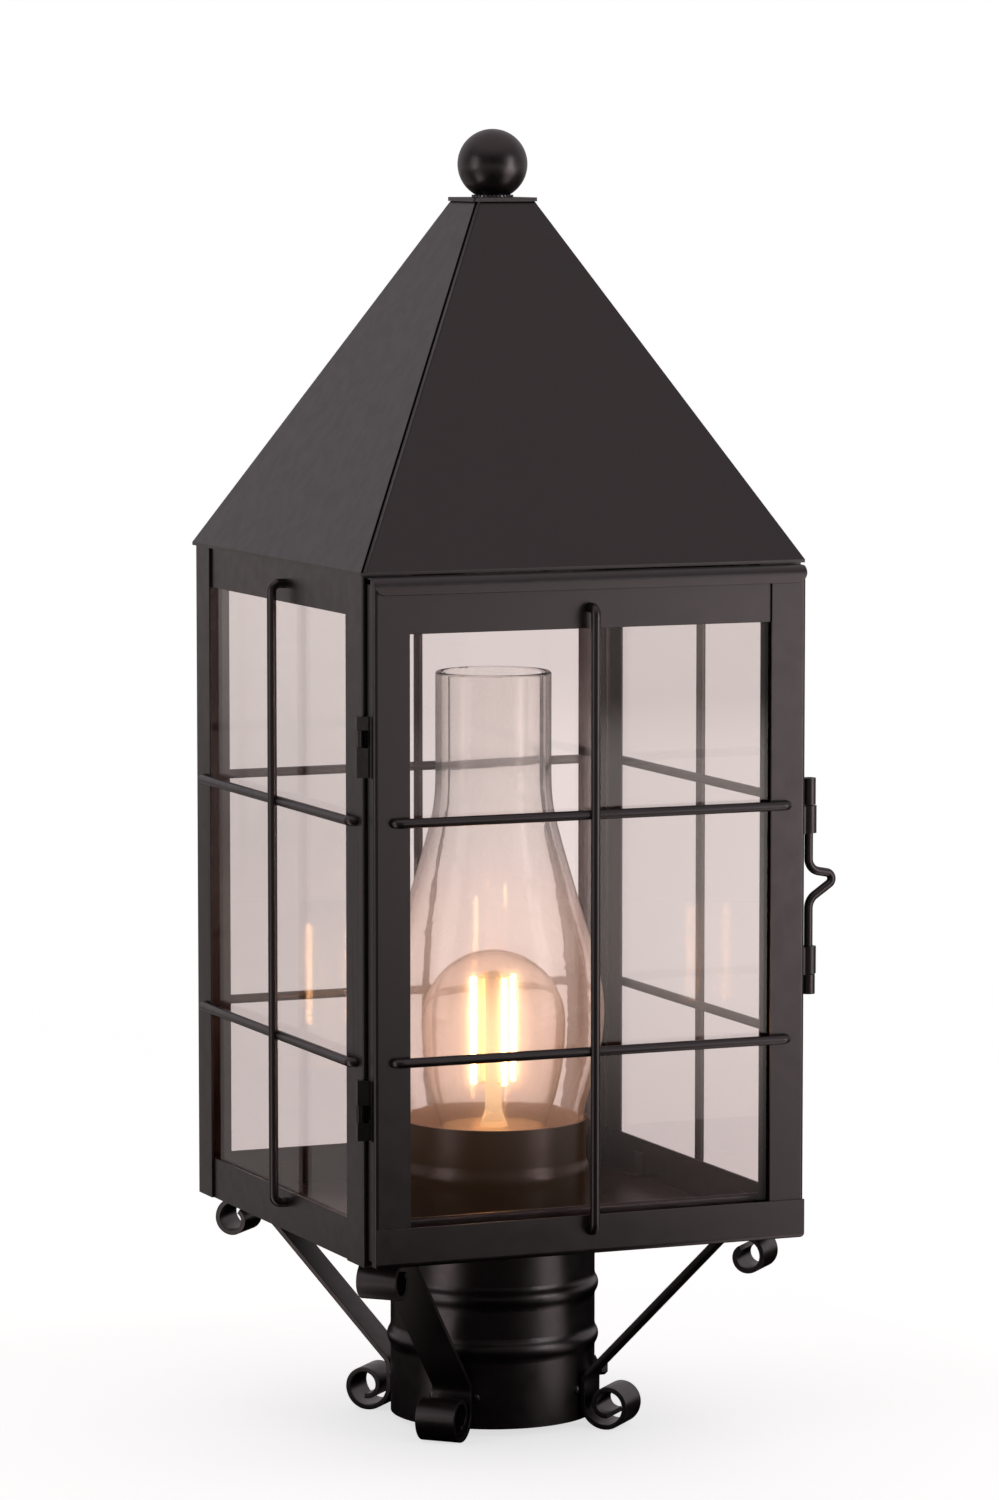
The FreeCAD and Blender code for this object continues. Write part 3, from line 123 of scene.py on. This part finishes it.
# Edges of the sheet metal
EDGE_ROUND = 0.00018
EDGE_ANGLE = math.radians(40.0)
SAME_PLACE = 0.000002

# Toothed lock washer round the ball's neck, whose teeth rise at one end
WASHER_TEETH = 32
TOOTH_STEPS = 4
WASHER_INNER = 0.00675
WASHER_ROOT = 0.0070
WASHER_OUTER = 0.0080
WASHER_THICKNESS = 0.0005
WASHER_TWIST = 0.0004
WASHER_GAP = 0.00005

# Rolled seam down two opposite hips, where the roof's sheets meet: painted shade, a dark matt strip in the
# crease, beside a lip painted light as a painted highlight. A hip's end is its x, which is also its y, and
# its z. A strip is its middle's distance from the hip, half its width, and its height.
EAVE_BAND = 0.0012
ROOF_TOP_HALF = 0.0123
roof_low, roof_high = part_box("roof_front_sheet")
HIP_LOW = (roof_low.x, roof_low.z + EAVE_BAND)
HIP_HIGH = (-ROOF_TOP_HALF, roof_high.z)
CREASE = (0.00055, 0.00042, 0.00006)
LIP = (0.00155, 0.00055, 0.00078)
SEAM_STEPS = 8
SEAM_SINK = 0.00002

# Small welds beside the brackets' straps, on the fitter's wall. Each one's middle is TACK_ASIDE of its
# radius outside the strap's edge.
FITTER_BEAD = 0.0014
FITTER_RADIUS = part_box("post_fitter")[1].x - FITTER_BEAD
STRAP_WIDTH = 0.016
TACK_RADIUS = 0.0016
TACK_ASIDE = 0.6
TACK_HEIGHT = 0.0120
TACK_SHAPE = (0.7, 1.0, 1.25)
TACK_LUMPS = 0.12
TACK_WAVES = (2600.0, 2100.0)


# Node helpers

def link(tree, source, target):
    tree.links.new(source, target)


def new_material(name):
    """A node material with a Principled shader on its output."""
    material = bpy.data.materials.new(name)
    material.use_nodes = True
    return material, material.node_tree


def position(tree):
    """Where a point is in the row frame, so that a pattern stays put on the piece."""
    return tree.nodes.new("ShaderNodeTexCoord").outputs["Object"]


def math_node(tree, operation, first, second):
    """A Math node; each operand is a socket or a number."""
    node = tree.nodes.new("ShaderNodeMath")
    node.operation = operation
    for index, operand in enumerate((first, second)):
        if isinstance(operand, (int, float)):
            node.inputs[index].default_value = operand
        else:
            link(tree, operand, node.inputs[index])
    return node.outputs["Value"]


def vector_node(tree, operation, socket, vector=None, output="Vector"):
    """A Vector Math node on a socket and, where the operation takes one, a fixed vector."""
    node = tree.nodes.new("ShaderNodeVectorMath")
    node.operation = operation
    link(tree, socket, node.inputs[0])
    if vector is not None:
        node.inputs[1].default_value = vector
    return node.outputs[output]


def axis_part(tree, vector, axis):
    """A vector's X, Y or Z."""
    node = tree.nodes.new("ShaderNodeSeparateXYZ")
    link(tree, vector, node.inputs["Vector"])
    return node.outputs[axis]


def noise(tree, scale, detail=2.0, roughness=0.5):
    node = tree.nodes.new("ShaderNodeTexNoise")
    node.inputs["Scale"].default_value = scale
    node.inputs["Detail"].default_value = detail
    node.inputs["Roughness"].default_value = roughness
    link(tree, position(tree), node.inputs["Vector"])
    return node.outputs["Fac"]


def ramp(tree, factor, low, high, start=0.35, end=0.65):
    """A colour from low to high as factor goes from start to end."""
    node = tree.nodes.new("ShaderNodeValToRGB")
    node.color_ramp.elements[0].position = start
    node.color_ramp.elements[0].color = (*low, 1.0)
    node.color_ramp.elements[1].position = end
    node.color_ramp.elements[1].color = (*high, 1.0)
    link(tree, factor, node.inputs["Fac"])
    return node.outputs["Color"]


def span(tree, value, ends, results):
    """A number that goes smoothly from results[0] to results[1] as value goes from ends[0] to ends[1]."""
    node = tree.nodes.new("ShaderNodeMapRange")
    node.interpolation_type = "SMOOTHSTEP"
    for name, number in zip(("From Min", "From Max", "To Min", "To Max"), (*ends, *results)):
        node.inputs[name].default_value = number
    link(tree, value, node.inputs["Value"])
    return node.outputs["Result"]


def bump(tree, height, strength, distance):
    node = tree.nodes.new("ShaderNodeBump")
    node.inputs["Strength"].default_value = strength
    node.inputs["Distance"].default_value = distance
    link(tree, height, node.inputs["Height"])
    return node.outputs["Normal"]


def not_yet(tree, depth):
    """1 for a ray with no such bounce behind it, and 0 after one."""
    path = tree.nodes.new("ShaderNodeLightPath")
    return math_node(tree, "LESS_THAN", path.outputs[depth], 0.5)


def direct_view(tree):
    """1 for what the camera sees straight or through glass, and 0 for what lights or gloss see."""
    path = tree.nodes.new("ShaderNodeLightPath").outputs
    seen = math_node(tree, "MAXIMUM", path["Is Camera Ray"], path["Is Transmission Ray"])
    unreflected = math_node(tree, "MULTIPLY", not_yet(tree, "Glossy Depth"), not_yet(tree, "Diffuse Depth"))
    return math_node(tree, "MULTIPLY", seen, unreflected)


# Kinds of material

def paint(name, low, high, roughness, grain=PAINT_GRAIN, peel_height=PAINT_PEEL):
    """Sprayed satin paint: faint clouds in its colour, uneven gloss and a fine orange peel."""
    material, tree = new_material(name)
    shader = tree.nodes["Principled BSDF"]
    clouds = noise(tree, 22.0, 4.0)
    streaks = noise(tree, 160.0, 3.0, 0.6)
    peel = noise(tree, grain, 2.0, 0.6)
    link(tree, ramp(tree, clouds, low, high), shader.inputs["Base Color"])
    link(tree, span(tree, streaks, NOISE_SPAN, roughness), shader.inputs["Roughness"])
    link(tree, bump(tree, peel, 0.35, peel_height), shader.inputs["Normal"])
    shader.inputs["Specular IOR Level"].default_value = 1.0
    shader.inputs["Specular Tint"].default_value = (*PAINT_GLOSS, 1.0)
    return material


def matt(material):
    """The paint nearly without its gloss, for the painted shade down in a crease."""
    material.node_tree.nodes["Principled BSDF"].inputs["Specular IOR Level"].default_value = CREASE_SPECULAR
    return material


def metal(name, low, high, roughness, grain):
    """Bare or plated metal with a drawn grain."""
    material, tree = new_material(name)
    shader = tree.nodes["Principled BSDF"]
    stain = noise(tree, 90.0, 4.0)
    scratches = noise(tree, grain, 3.0, 0.6)
    link(tree, ramp(tree, stain, low, high), shader.inputs["Base Color"])
    link(tree, span(tree, scratches, NOISE_SPAN, roughness), shader.inputs["Roughness"])
    link(tree, bump(tree, scratches, 0.2, METAL_SCRATCH), shader.inputs["Normal"])
    shader.inputs["Metallic"].default_value = 1.0
    return material


def ceramic(name, low, high, roughness):
    """Glazed porcelain with faint clouds in its colour and gloss."""
    material, tree = new_material(name)
    shader = tree.nodes["Principled BSDF"]
    clouds = noise(tree, 60.0, 3.0)
    link(tree, ramp(tree, clouds, low, high), shader.inputs["Base Color"])
    link(tree, span(tree, clouds, NOISE_SPAN, roughness), shader.inputs["Roughness"])
    return material


def glass(name, low, high, ior, ripple_scale, ripple_height, haze=0.0):
    """Clear glass with a faint uneven tint and ripple, which casts only a tinted shadow.

    haze is the roughness of its finest specks, which spread a little of what is seen through it."""
    material, tree = new_material(name)
    shader = tree.nodes["Principled BSDF"]
    colour = ramp(tree, noise(tree, 14.0, 2.0), low, high, 0.2, 0.8)
    link(tree, colour, shader.inputs["Base Color"])
    link(tree, bump(tree, noise(tree, ripple_scale, 1.0), 0.3, ripple_height), shader.inputs["Normal"])
    shader.inputs["Roughness"].default_value = 0.0
    if haze:
        specks = span(tree, noise(tree, SPECK_GRAIN, 0.0), SPECK_SPAN, (0.0, haze))
        link(tree, specks, shader.inputs["Roughness"])
    shader.inputs["IOR"].default_value = ior
    shader.inputs["Transmission Weight"].default_value = 1.0
    clear = tree.nodes.new("ShaderNodeBsdfTransparent")
    mix = tree.nodes.new("ShaderNodeMixShader")
    link(tree, colour, clear.inputs["Color"])
    link(tree, tree.nodes.new("ShaderNodeLightPath").outputs["Is Shadow Ray"], mix.inputs["Fac"])
    link(tree, shader.outputs["BSDF"], mix.inputs[1])
    link(tree, clear.outputs["BSDF"], mix.inputs[2])
    link(tree, mix.outputs["Shader"], tree.nodes["Material Output"].inputs["Surface"])
    return material


def filament(name, low, high):
    """Four glowing coated rods, brightest at the sides and dim at the back, on bare leads that stay dark."""
    material, tree = new_material(name)
    shader = tree.nodes["Principled BSDF"]
    link(tree, ramp(tree, noise(tree, 900.0, 2.0), low, high), shader.inputs["Emission Color"])
    place = position(tree)
    level = vector_node(tree, "MULTIPLY", place, (1.0, 1.0, 0.0))
    away = vector_node(tree, "LENGTH", level, output="Value")
    coated = math_node(tree, "GREATER_THAN", away, FILAMENT_INNER)
    sideways = math_node(tree, "ABSOLUTE", axis_part(tree, place, "X"), 0.0)
    forward = math_node(tree, "MULTIPLY", axis_part(tree, place, "Y"), FILAMENT_FRONT)
    glow = span(tree, math_node(tree, "MAXIMUM", sideways, forward), FILAMENT_SIDES, FILAMENT_GLOW)
    link(tree, math_node(tree, "MULTIPLY", coated, glow), shader.inputs["Emission Strength"])
    shader.inputs["Base Color"].default_value = (*COATING_COLOUR, 1.0)
    shader.inputs["Roughness"].default_value = 0.5
    return material


def paint_lamp_glow(material, colour, centre_z, reach, height, most):
    """Paints the filaments' light as a glow on what is near them, less the further it is from their middle.

    reach and height are how far the glow goes to the sides and upwards."""
    tree = material.node_tree
    ellipse = tree.nodes.new("ShaderNodeMapping")
    ellipse.inputs["Location"].default_value = (0.0, 0.0, -centre_z / height)
    ellipse.inputs["Scale"].default_value = (1.0 / reach, 1.0 / reach, 1.0 / height)
    link(tree, position(tree), ellipse.inputs["Vector"])
    away = vector_node(tree, "LENGTH", ellipse.outputs["Vector"], output="Value")
    shader = tree.nodes["Principled BSDF"]
    shader.inputs["Emission Color"].default_value = (*colour, 1.0)
    link(tree, span(tree, away, (FULL_GLOW, 1.0), (most, 0.0)), shader.inputs["Emission Strength"])
    return material


# Paint: most sheets, near the lamp with painted glow, roof, hinges, clips, seams with painted shade and
# highlight
BODY_PAINT = ((0.0058, 0.0042, 0.0042), (0.0076, 0.0054, 0.0054), (0.29, 0.36))
BLACK = paint("black_paint", *BODY_PAINT)
# painted warm glow near the lamp, standing in for its light on the holder, the floor plate and the sill
BLACK_PAINTED_LAMP_GLOW = paint("black_paint_painted_lamp_glow", *BODY_PAINT)
BLACK_ROOF = paint("black_roof_paint", (0.0058, 0.0044, 0.0044), (0.0074, 0.0056, 0.0056),
                   (0.32, 0.38), 3000.0, 0.00003)
BLACK_GLOSS = paint("black_gloss_paint", (0.0038, 0.0030, 0.0030), (0.0052, 0.0040, 0.0040),
                    (0.13, 0.20), peel_height=0.00002)
BLACK_CLIP = paint("black_clip_paint", (0.0055, 0.004, 0.004), (0.008, 0.006, 0.006), (0.4, 0.5))
# painted shade: near-black matt paint on a strip laid in the crease, where there is only shade
BLACK_PAINTED_CREASE_SHADE = matt(paint("black_paint_painted_crease_shade", (0.0012, 0.0009, 0.0009), (0.0018, 0.0013, 0.0013),
                          (0.7, 0.8)))
# painted highlight: much lighter paint on the seam's lip, standing in for the light it catches
BLACK_LIP_PAINTED_HIGHLIGHT = paint("black_paint_painted_highlight", (0.095, 0.085, 0.090), (0.130, 0.115, 0.120), (0.36, 0.44))

# Glass
PANE = glass("pane_glass", (0.87, 0.81, 0.80), (0.88, 0.82, 0.81), 1.5, 9.0, 0.00001)
CHIMNEY = glass("chimney_glass", (0.975, 0.95, 0.935), (0.985, 0.96, 0.945), 1.4, 16.0, 0.000014, 0.35)
BULB = glass("bulb_glass", (0.97, 0.92, 0.87), (0.98, 0.935, 0.89), 1.33, 60.0, 0.00001, 0.5)
STEM = glass("stem_glass", (0.98, 0.93, 0.84), (0.99, 0.95, 0.88), 1.3, 220.0, 0.0001)

# The lamp's other parts
FILAMENT = filament("filament_glow", (1.0, 0.56, 0.24), (1.0, 0.64, 0.32))
BRASS = metal("lamp_brass", (0.62, 0.42, 0.18), (0.78, 0.56, 0.27), (0.22, 0.4), 1200.0)
STEEL = metal("plated_steel", (0.40, 0.40, 0.41), (0.56, 0.56, 0.56), (0.25, 0.4), 1500.0)
PORCELAIN = ceramic("porcelain", (0.70, 0.67, 0.61), (0.80, 0.78, 0.72), (0.2, 0.35))

# Painted lamp light: emission glows on the glass, the stem, the brass and the paint near the filaments
paint_lamp_glow(BULB, GLASS_PAINTED_GLOW_COLOUR, LAMP_MIDDLE, reach=0.040, height=0.044, most=0.14)
paint_lamp_glow(CHIMNEY, GLASS_PAINTED_GLOW_COLOUR, LAMP_MIDDLE + 0.005, reach=0.062, height=0.09, most=0.18)
paint_lamp_glow(STEM, STEM_PAINTED_GLOW_COLOUR, LAMP_MIDDLE - 0.01, reach=0.030, height=0.045, most=0.62)
paint_lamp_glow(BRASS, LAMP_COLOUR, LAMP_MIDDLE, reach=0.060, height=0.060, most=0.5)
paint_lamp_glow(BLACK_PAINTED_LAMP_GLOW, LAMP_COLOUR, LAMP_MIDDLE, reach=0.12, height=0.12, most=0.030)

MATERIAL_OF = {
    "glass_left": PANE,
    "glass_right": PANE,
    "glass_back": PANE,
    "door_glass": PANE,
    "chimney_glass": CHIMNEY,
    "bulb_glass": BULB,
    "bulb_stem": STEM,
    "bulb_filaments": FILAMENT,
    "hinge_door_leaves": BLACK_GLOSS,
    "hinge_frame_leaves": BLACK_GLOSS,
    "hinge_pins": BLACK_GLOSS,
    "chimney_holder": BLACK_PAINTED_LAMP_GLOW,
    "floor_plate": BLACK_PAINTED_LAMP_GLOW,
    "front_sill": BLACK_PAINTED_LAMP_GLOW,
    "roof_front_sheet": BLACK_ROOF,
    "roof_back_sheet": BLACK_ROOF,
    "roof_cap_plate": BLACK_ROOF,
    "lamp_socket": PORCELAIN,
    "socket_shell": BRASS,
    "lamp_cap": BRASS,
    "lamp_collar": BRASS,
    "finial_stud": STEEL,
    "finial_nut": STEEL,
    "lamp_nipple": STEEL,
    "lamp_locknut": STEEL,
    "glass_clips_body": BLACK_CLIP,
    "door_glass_clips": BLACK_CLIP,
}
SHEET_PARTS = ("corner_post", "bottom_rail", "top_rail", "door_top", "door_bottom", "scroll_bracket",
               "floor_plate")


def dress(obj, material):
    obj.data.materials.clear()
    obj.data.materials.append(material)


def soften(node):
    """Rounds a sheet part's cut edges a little, so that they catch the light."""
    node.modifiers.new("weld", "WELD").merge_threshold = SAME_PLACE
    edge = node.modifiers.new("edge", "BEVEL")
    edge.width = EDGE_ROUND
    edge.segments = 2
    edge.limit_method = "ANGLE"
    edge.angle_limit = EDGE_ANGLE
    edge.use_clamp_overlap = False
    shade = node.modifiers.new("shade", "WEIGHTED_NORMAL")
    shade.weight = 100


for name, node in nodes.items():
    dress(node, MATERIAL_OF.get(name, BLACK))
    if name.startswith(SHEET_PARTS):
        soften(node)


# The scene's own small trim

def new_piece(name, shape, material, body, smooth=True):
    """A piece of this scene's own, made from a bmesh, which rides on a CAD body."""
    mesh = bpy.data.meshes.new(name)
    shape.to_mesh(mesh)
    shape.free()
    for face in mesh.polygons:
        face.use_smooth = smooth
    piece = bpy.data.objects.new(name, mesh)
    bpy.context.scene.collection.objects.link(piece)
    dress(piece, material)
    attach(piece, body)
    return piece


def add_lock_washer():
    """A thin ring whose outer teeth are twisted, between the ball and the cap plate."""
    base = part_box("roof_cap_plate")[1].z + WASHER_GAP
    shape = bmesh.new()
    steps = WASHER_TEETH * TOOTH_STEPS
    rings = []
    for step in range(steps):
        angle = 2 * math.pi * step / steps
        outer = WASHER_OUTER if step % TOOTH_STEPS in (1, 2) else WASHER_ROOT
        low = base + (WASHER_TWIST if step % TOOTH_STEPS == 1 else 0.0)
        high = low + WASHER_THICKNESS
        corners = ((WASHER_INNER, low), (outer, low), (outer, high), (WASHER_INNER, high))
        rings.append([shape.verts.new((math.cos(angle) * r, math.sin(angle) * r, z)) for r, z in corners])
    for index, ring in enumerate(rings):
        after = rings[(index + 1) % steps]
        for side in range(4):
            following = (side + 1) % 4
            shape.faces.new((ring[side], after[side], after[following], ring[following]))
    piece = new_piece("finial_lock_washer", shape, STEEL, "body", smooth=False)


def add_weld_tacks():
    """Small domed welds on the fitter's wall, one on each side of each bracket's lower strap."""
    spread = math.asin((STRAP_WIDTH / 2 + TACK_RADIUS * TACK_ASIDE) / FITTER_RADIUS)
    wave_x, wave_z = TACK_WAVES
    for corner in range(4):
        for side, side_name in ((-1, "left"), (1, "right")):
            angle = math.radians(45 + 90 * corner) + side * spread
            outward = Vector((math.cos(angle), math.sin(angle), 0.0))
            place = outward * FITTER_RADIUS + Vector((0.0, 0.0, TACK_HEIGHT))
            shape = bmesh.new()
            bmesh.ops.create_icosphere(shape, subdivisions=3, radius=TACK_RADIUS)
            for vert in shape.verts:
                waves = math.sin(vert.co.x * wave_x + corner) * math.cos(vert.co.z * wave_z + side)
                vert.co *= 1 + TACK_LUMPS * waves
            turn = Matrix.Rotation(angle, 4, "Z") @ Matrix.Diagonal((*TACK_SHAPE, 1.0))
            bmesh.ops.transform(shape, matrix=turn, verts=shape.verts)
            bmesh.ops.translate(shape, vec=place, verts=shape.verts)
            piece = new_piece("weld_tack_%d_%s" % (corner, side_name), shape, BLACK, "body")


def add_hip_seam(name, section, material, turned):
    """A low half-round strip that runs beside a hip; turned puts it on the opposite hip."""
    middle, half_width, height = section
    rise = HIP_HIGH[1] - HIP_LOW[1]
    run = HIP_HIGH[0] - HIP_LOW[0]
    outward = Vector((0.0, -rise, run)).normalized()
    sign = -1.0 if turned else 1.0
    shape = bmesh.new()
    ends = []
    for along, level in (HIP_LOW, HIP_HIGH):
        ring = []
        for step in range(SEAM_STEPS + 1):
            angle = math.pi * step / SEAM_STEPS
            sideways = middle - half_width * math.cos(angle)
            lift = height * math.sin(angle) - SEAM_SINK
            place = Vector((along + sideways, along, level)) + outward * lift
            ring.append(shape.verts.new((place.x * sign, place.y * sign, place.z)))
        ends.append(ring)
    for step in range(SEAM_STEPS):
        shape.faces.new((ends[0][step], ends[0][step + 1], ends[1][step + 1], ends[1][step]))
    shape.faces.new((ends[0][0], ends[1][0], ends[1][SEAM_STEPS], ends[0][SEAM_STEPS]))
    shape.faces.new(list(reversed(ends[0])))
    shape.faces.new(ends[1])
    bmesh.ops.recalc_face_normals(shape, faces=shape.faces)
    new_piece(name, shape, material, "body")


add_lock_washer()
add_weld_tacks()
# each seam gets a strip of painted shade in its crease and a lip with a painted highlight
for hip, turned in (("front_left", False), ("back_right", True)):
    add_hip_seam("hip_crease_painted_shade_" + hip, CREASE, BLACK_PAINTED_CREASE_SHADE, turned)
    add_hip_seam("hip_lip_painted_highlight_" + hip, LIP, BLACK_LIP_PAINTED_HIGHLIGHT, turned)


# Camera, lights and floor

def aim(obj, direction):
    obj.rotation_mode = "QUATERNION"
    obj.rotation_quaternion = Vector(direction).to_track_quat("-Z", "Y")


def add_camera():
    data = bpy.data.cameras.new("camera")
    data.lens = LENS_MM
    data.sensor_width = SENSOR_MM
    data.clip_end = VIEW_END
    camera = bpy.data.objects.new("camera", data)
    camera.location = CAMERA_PLACE
    level = math.cos(CAMERA_ELEVATION)
    down = -math.sin(CAMERA_ELEVATION)
    aim(camera, (math.sin(CAMERA_AZIMUTH) * level, math.cos(CAMERA_AZIMUTH) * level, down))
    bpy.context.scene.collection.objects.link(camera)
    bpy.context.scene.camera = camera


def add_softbox(name, direction, brightness):
    """A rectangular lamp turned to the post's axis, which the camera doesn't see."""
    data = bpy.data.lights.new(name, "AREA")
    data.shape = "RECTANGLE"
    data.size = SOFTBOX_WIDTH
    data.size_y = SOFTBOX_TALL
    data.energy = WHITE_POWER * brightness * SOFTBOX_WIDTH * SOFTBOX_TALL
    light = bpy.data.objects.new(name, data)
    light.location = direction * SOFTBOX_DISTANCE + Vector((0.0, 0.0, SOFTBOX_HEIGHT))
    light.visible_camera = False
    aim(light, -direction)
    bpy.context.scene.collection.objects.link(light)


def add_lamp_light():
    """The light that the filaments throw on what is round them."""
    data = bpy.data.lights.new("lamp_light", "POINT")
    data.energy = LAMP_POWER
    data.color = LAMP_COLOUR
    data.shadow_soft_size = LAMP_RADIUS
    lamp = bpy.data.objects.new("lamp_light", data)
    lamp.location = (0.0, 0.0, LAMP_MIDDLE)
    lamp.visible_camera = lamp.visible_glossy = lamp.visible_transmission = False
    bpy.context.scene.collection.objects.link(lamp)


def add_world():
    world = bpy.data.worlds.new("studio")
    world.use_nodes = True
    bpy.context.scene.world = world
    tree = world.node_tree
    direction = tree.nodes.new("ShaderNodeTexCoord").outputs["Generated"]
    along = vector_node(tree, "DOT_PRODUCT", direction, BEHIND, "Value")
    behind = span(tree, along, BEHIND_SPAN, BEHIND_LIGHT)
    above = span(tree, axis_part(tree, direction, "Z"), ABOVE_SPAN, ABOVE_LIGHT)
    room = math_node(tree, "MAXIMUM", behind, above)
    direct = direct_view(tree)
    background = tree.nodes["Background"]
    link(tree, ramp(tree, direct, ROOM_COLOUR, WHITE, 0.0, 1.0), background.inputs["Color"])
    link(tree, math_node(tree, "MAXIMUM", room, direct), background.inputs["Strength"])


def painted_light_pool(tree, place, away, direction, spread, near, far, brightness):
    """How bright one of the painted pools of light makes the floor, as gloss sees it."""
    level = vector_node(tree, "NORMALIZE", place)
    along = vector_node(tree, "DOT_PRODUCT", level, direction, "Value")
    pool = span(tree, along, spread, (0.0, brightness))
    for ends, results in ((near, (0.0, 1.0)), (far, (1.0, POOL_LEFT_OVER))):
        pool = math_node(tree, "MULTIPLY", pool, span(tree, away, ends, results))
    return pool


def floor_material():
    """Pale where the camera sees it, and in gloss dim near the lantern, with painted pools of light."""
    material, tree = new_material("floor")
    shader = tree.nodes["Principled BSDF"]
    shader.inputs["Roughness"].default_value = FLOOR_ROUGHNESS
    shader.inputs["Specular IOR Level"].default_value = 0.0
    place = position(tree)
    away = vector_node(tree, "LENGTH", place, output="Value")
    nearness = span(tree, away, (FLOOR_NEAR, FLOOR_FAR), (1.0, 0.0))
    unreflected = not_yet(tree, "Glossy Depth")
    pale = math_node(tree, "MULTIPLY", nearness, unreflected)
    link(tree, ramp(tree, pale, DARK, FLOOR_COLOUR, 0.0, 1.0), shader.inputs["Base Color"])
    link(tree, ramp(tree, unreflected, POOL_COLOUR, WHITE, 0.0, 1.0), shader.inputs["Emission Color"])
    seen = span(tree, away, (FLOOR_NEAR, FLOOR_FAR), FLOOR_GLOW_SEEN)
    mirrored = span(tree, away, (FLOOR_NEAR, FLOOR_FAR_MIRRORED), FLOOR_GLOW_MIRRORED)
    direct = math_node(tree, "MULTIPLY", seen, direct_view(tree))
    for pool in PAINTED_LIGHT_POOLS:
        mirrored = math_node(tree, "MAXIMUM", mirrored, painted_light_pool(tree, place, away, *pool))
    reflected = math_node(tree, "SUBTRACT", 1.0, unreflected)
    glossy = math_node(tree, "MULTIPLY", mirrored, reflected)
    link(tree, math_node(tree, "MAXIMUM", direct, glossy), shader.inputs["Emission Strength"])
    return material


def add_floor():
    half = FLOOR_SIZE / 2
    corners = [(x * half, y * half, FLOOR_Z) for x, y in ((-1, -1), (1, -1), (1, 1), (-1, 1))]
    mesh = bpy.data.meshes.new("floor")
    mesh.from_pydata(corners, [], [(0, 1, 2, 3)])
    floor = bpy.data.objects.new("floor", mesh)
    bpy.context.scene.collection.objects.link(floor)
    dress(floor, floor_material())


add_camera()
for name, direction, brightness in SOFTBOXES:
    add_softbox(name, direction, brightness)
add_lamp_light()
add_world()
add_floor()
bpy.context.scene.view_settings.view_transform = "Standard"
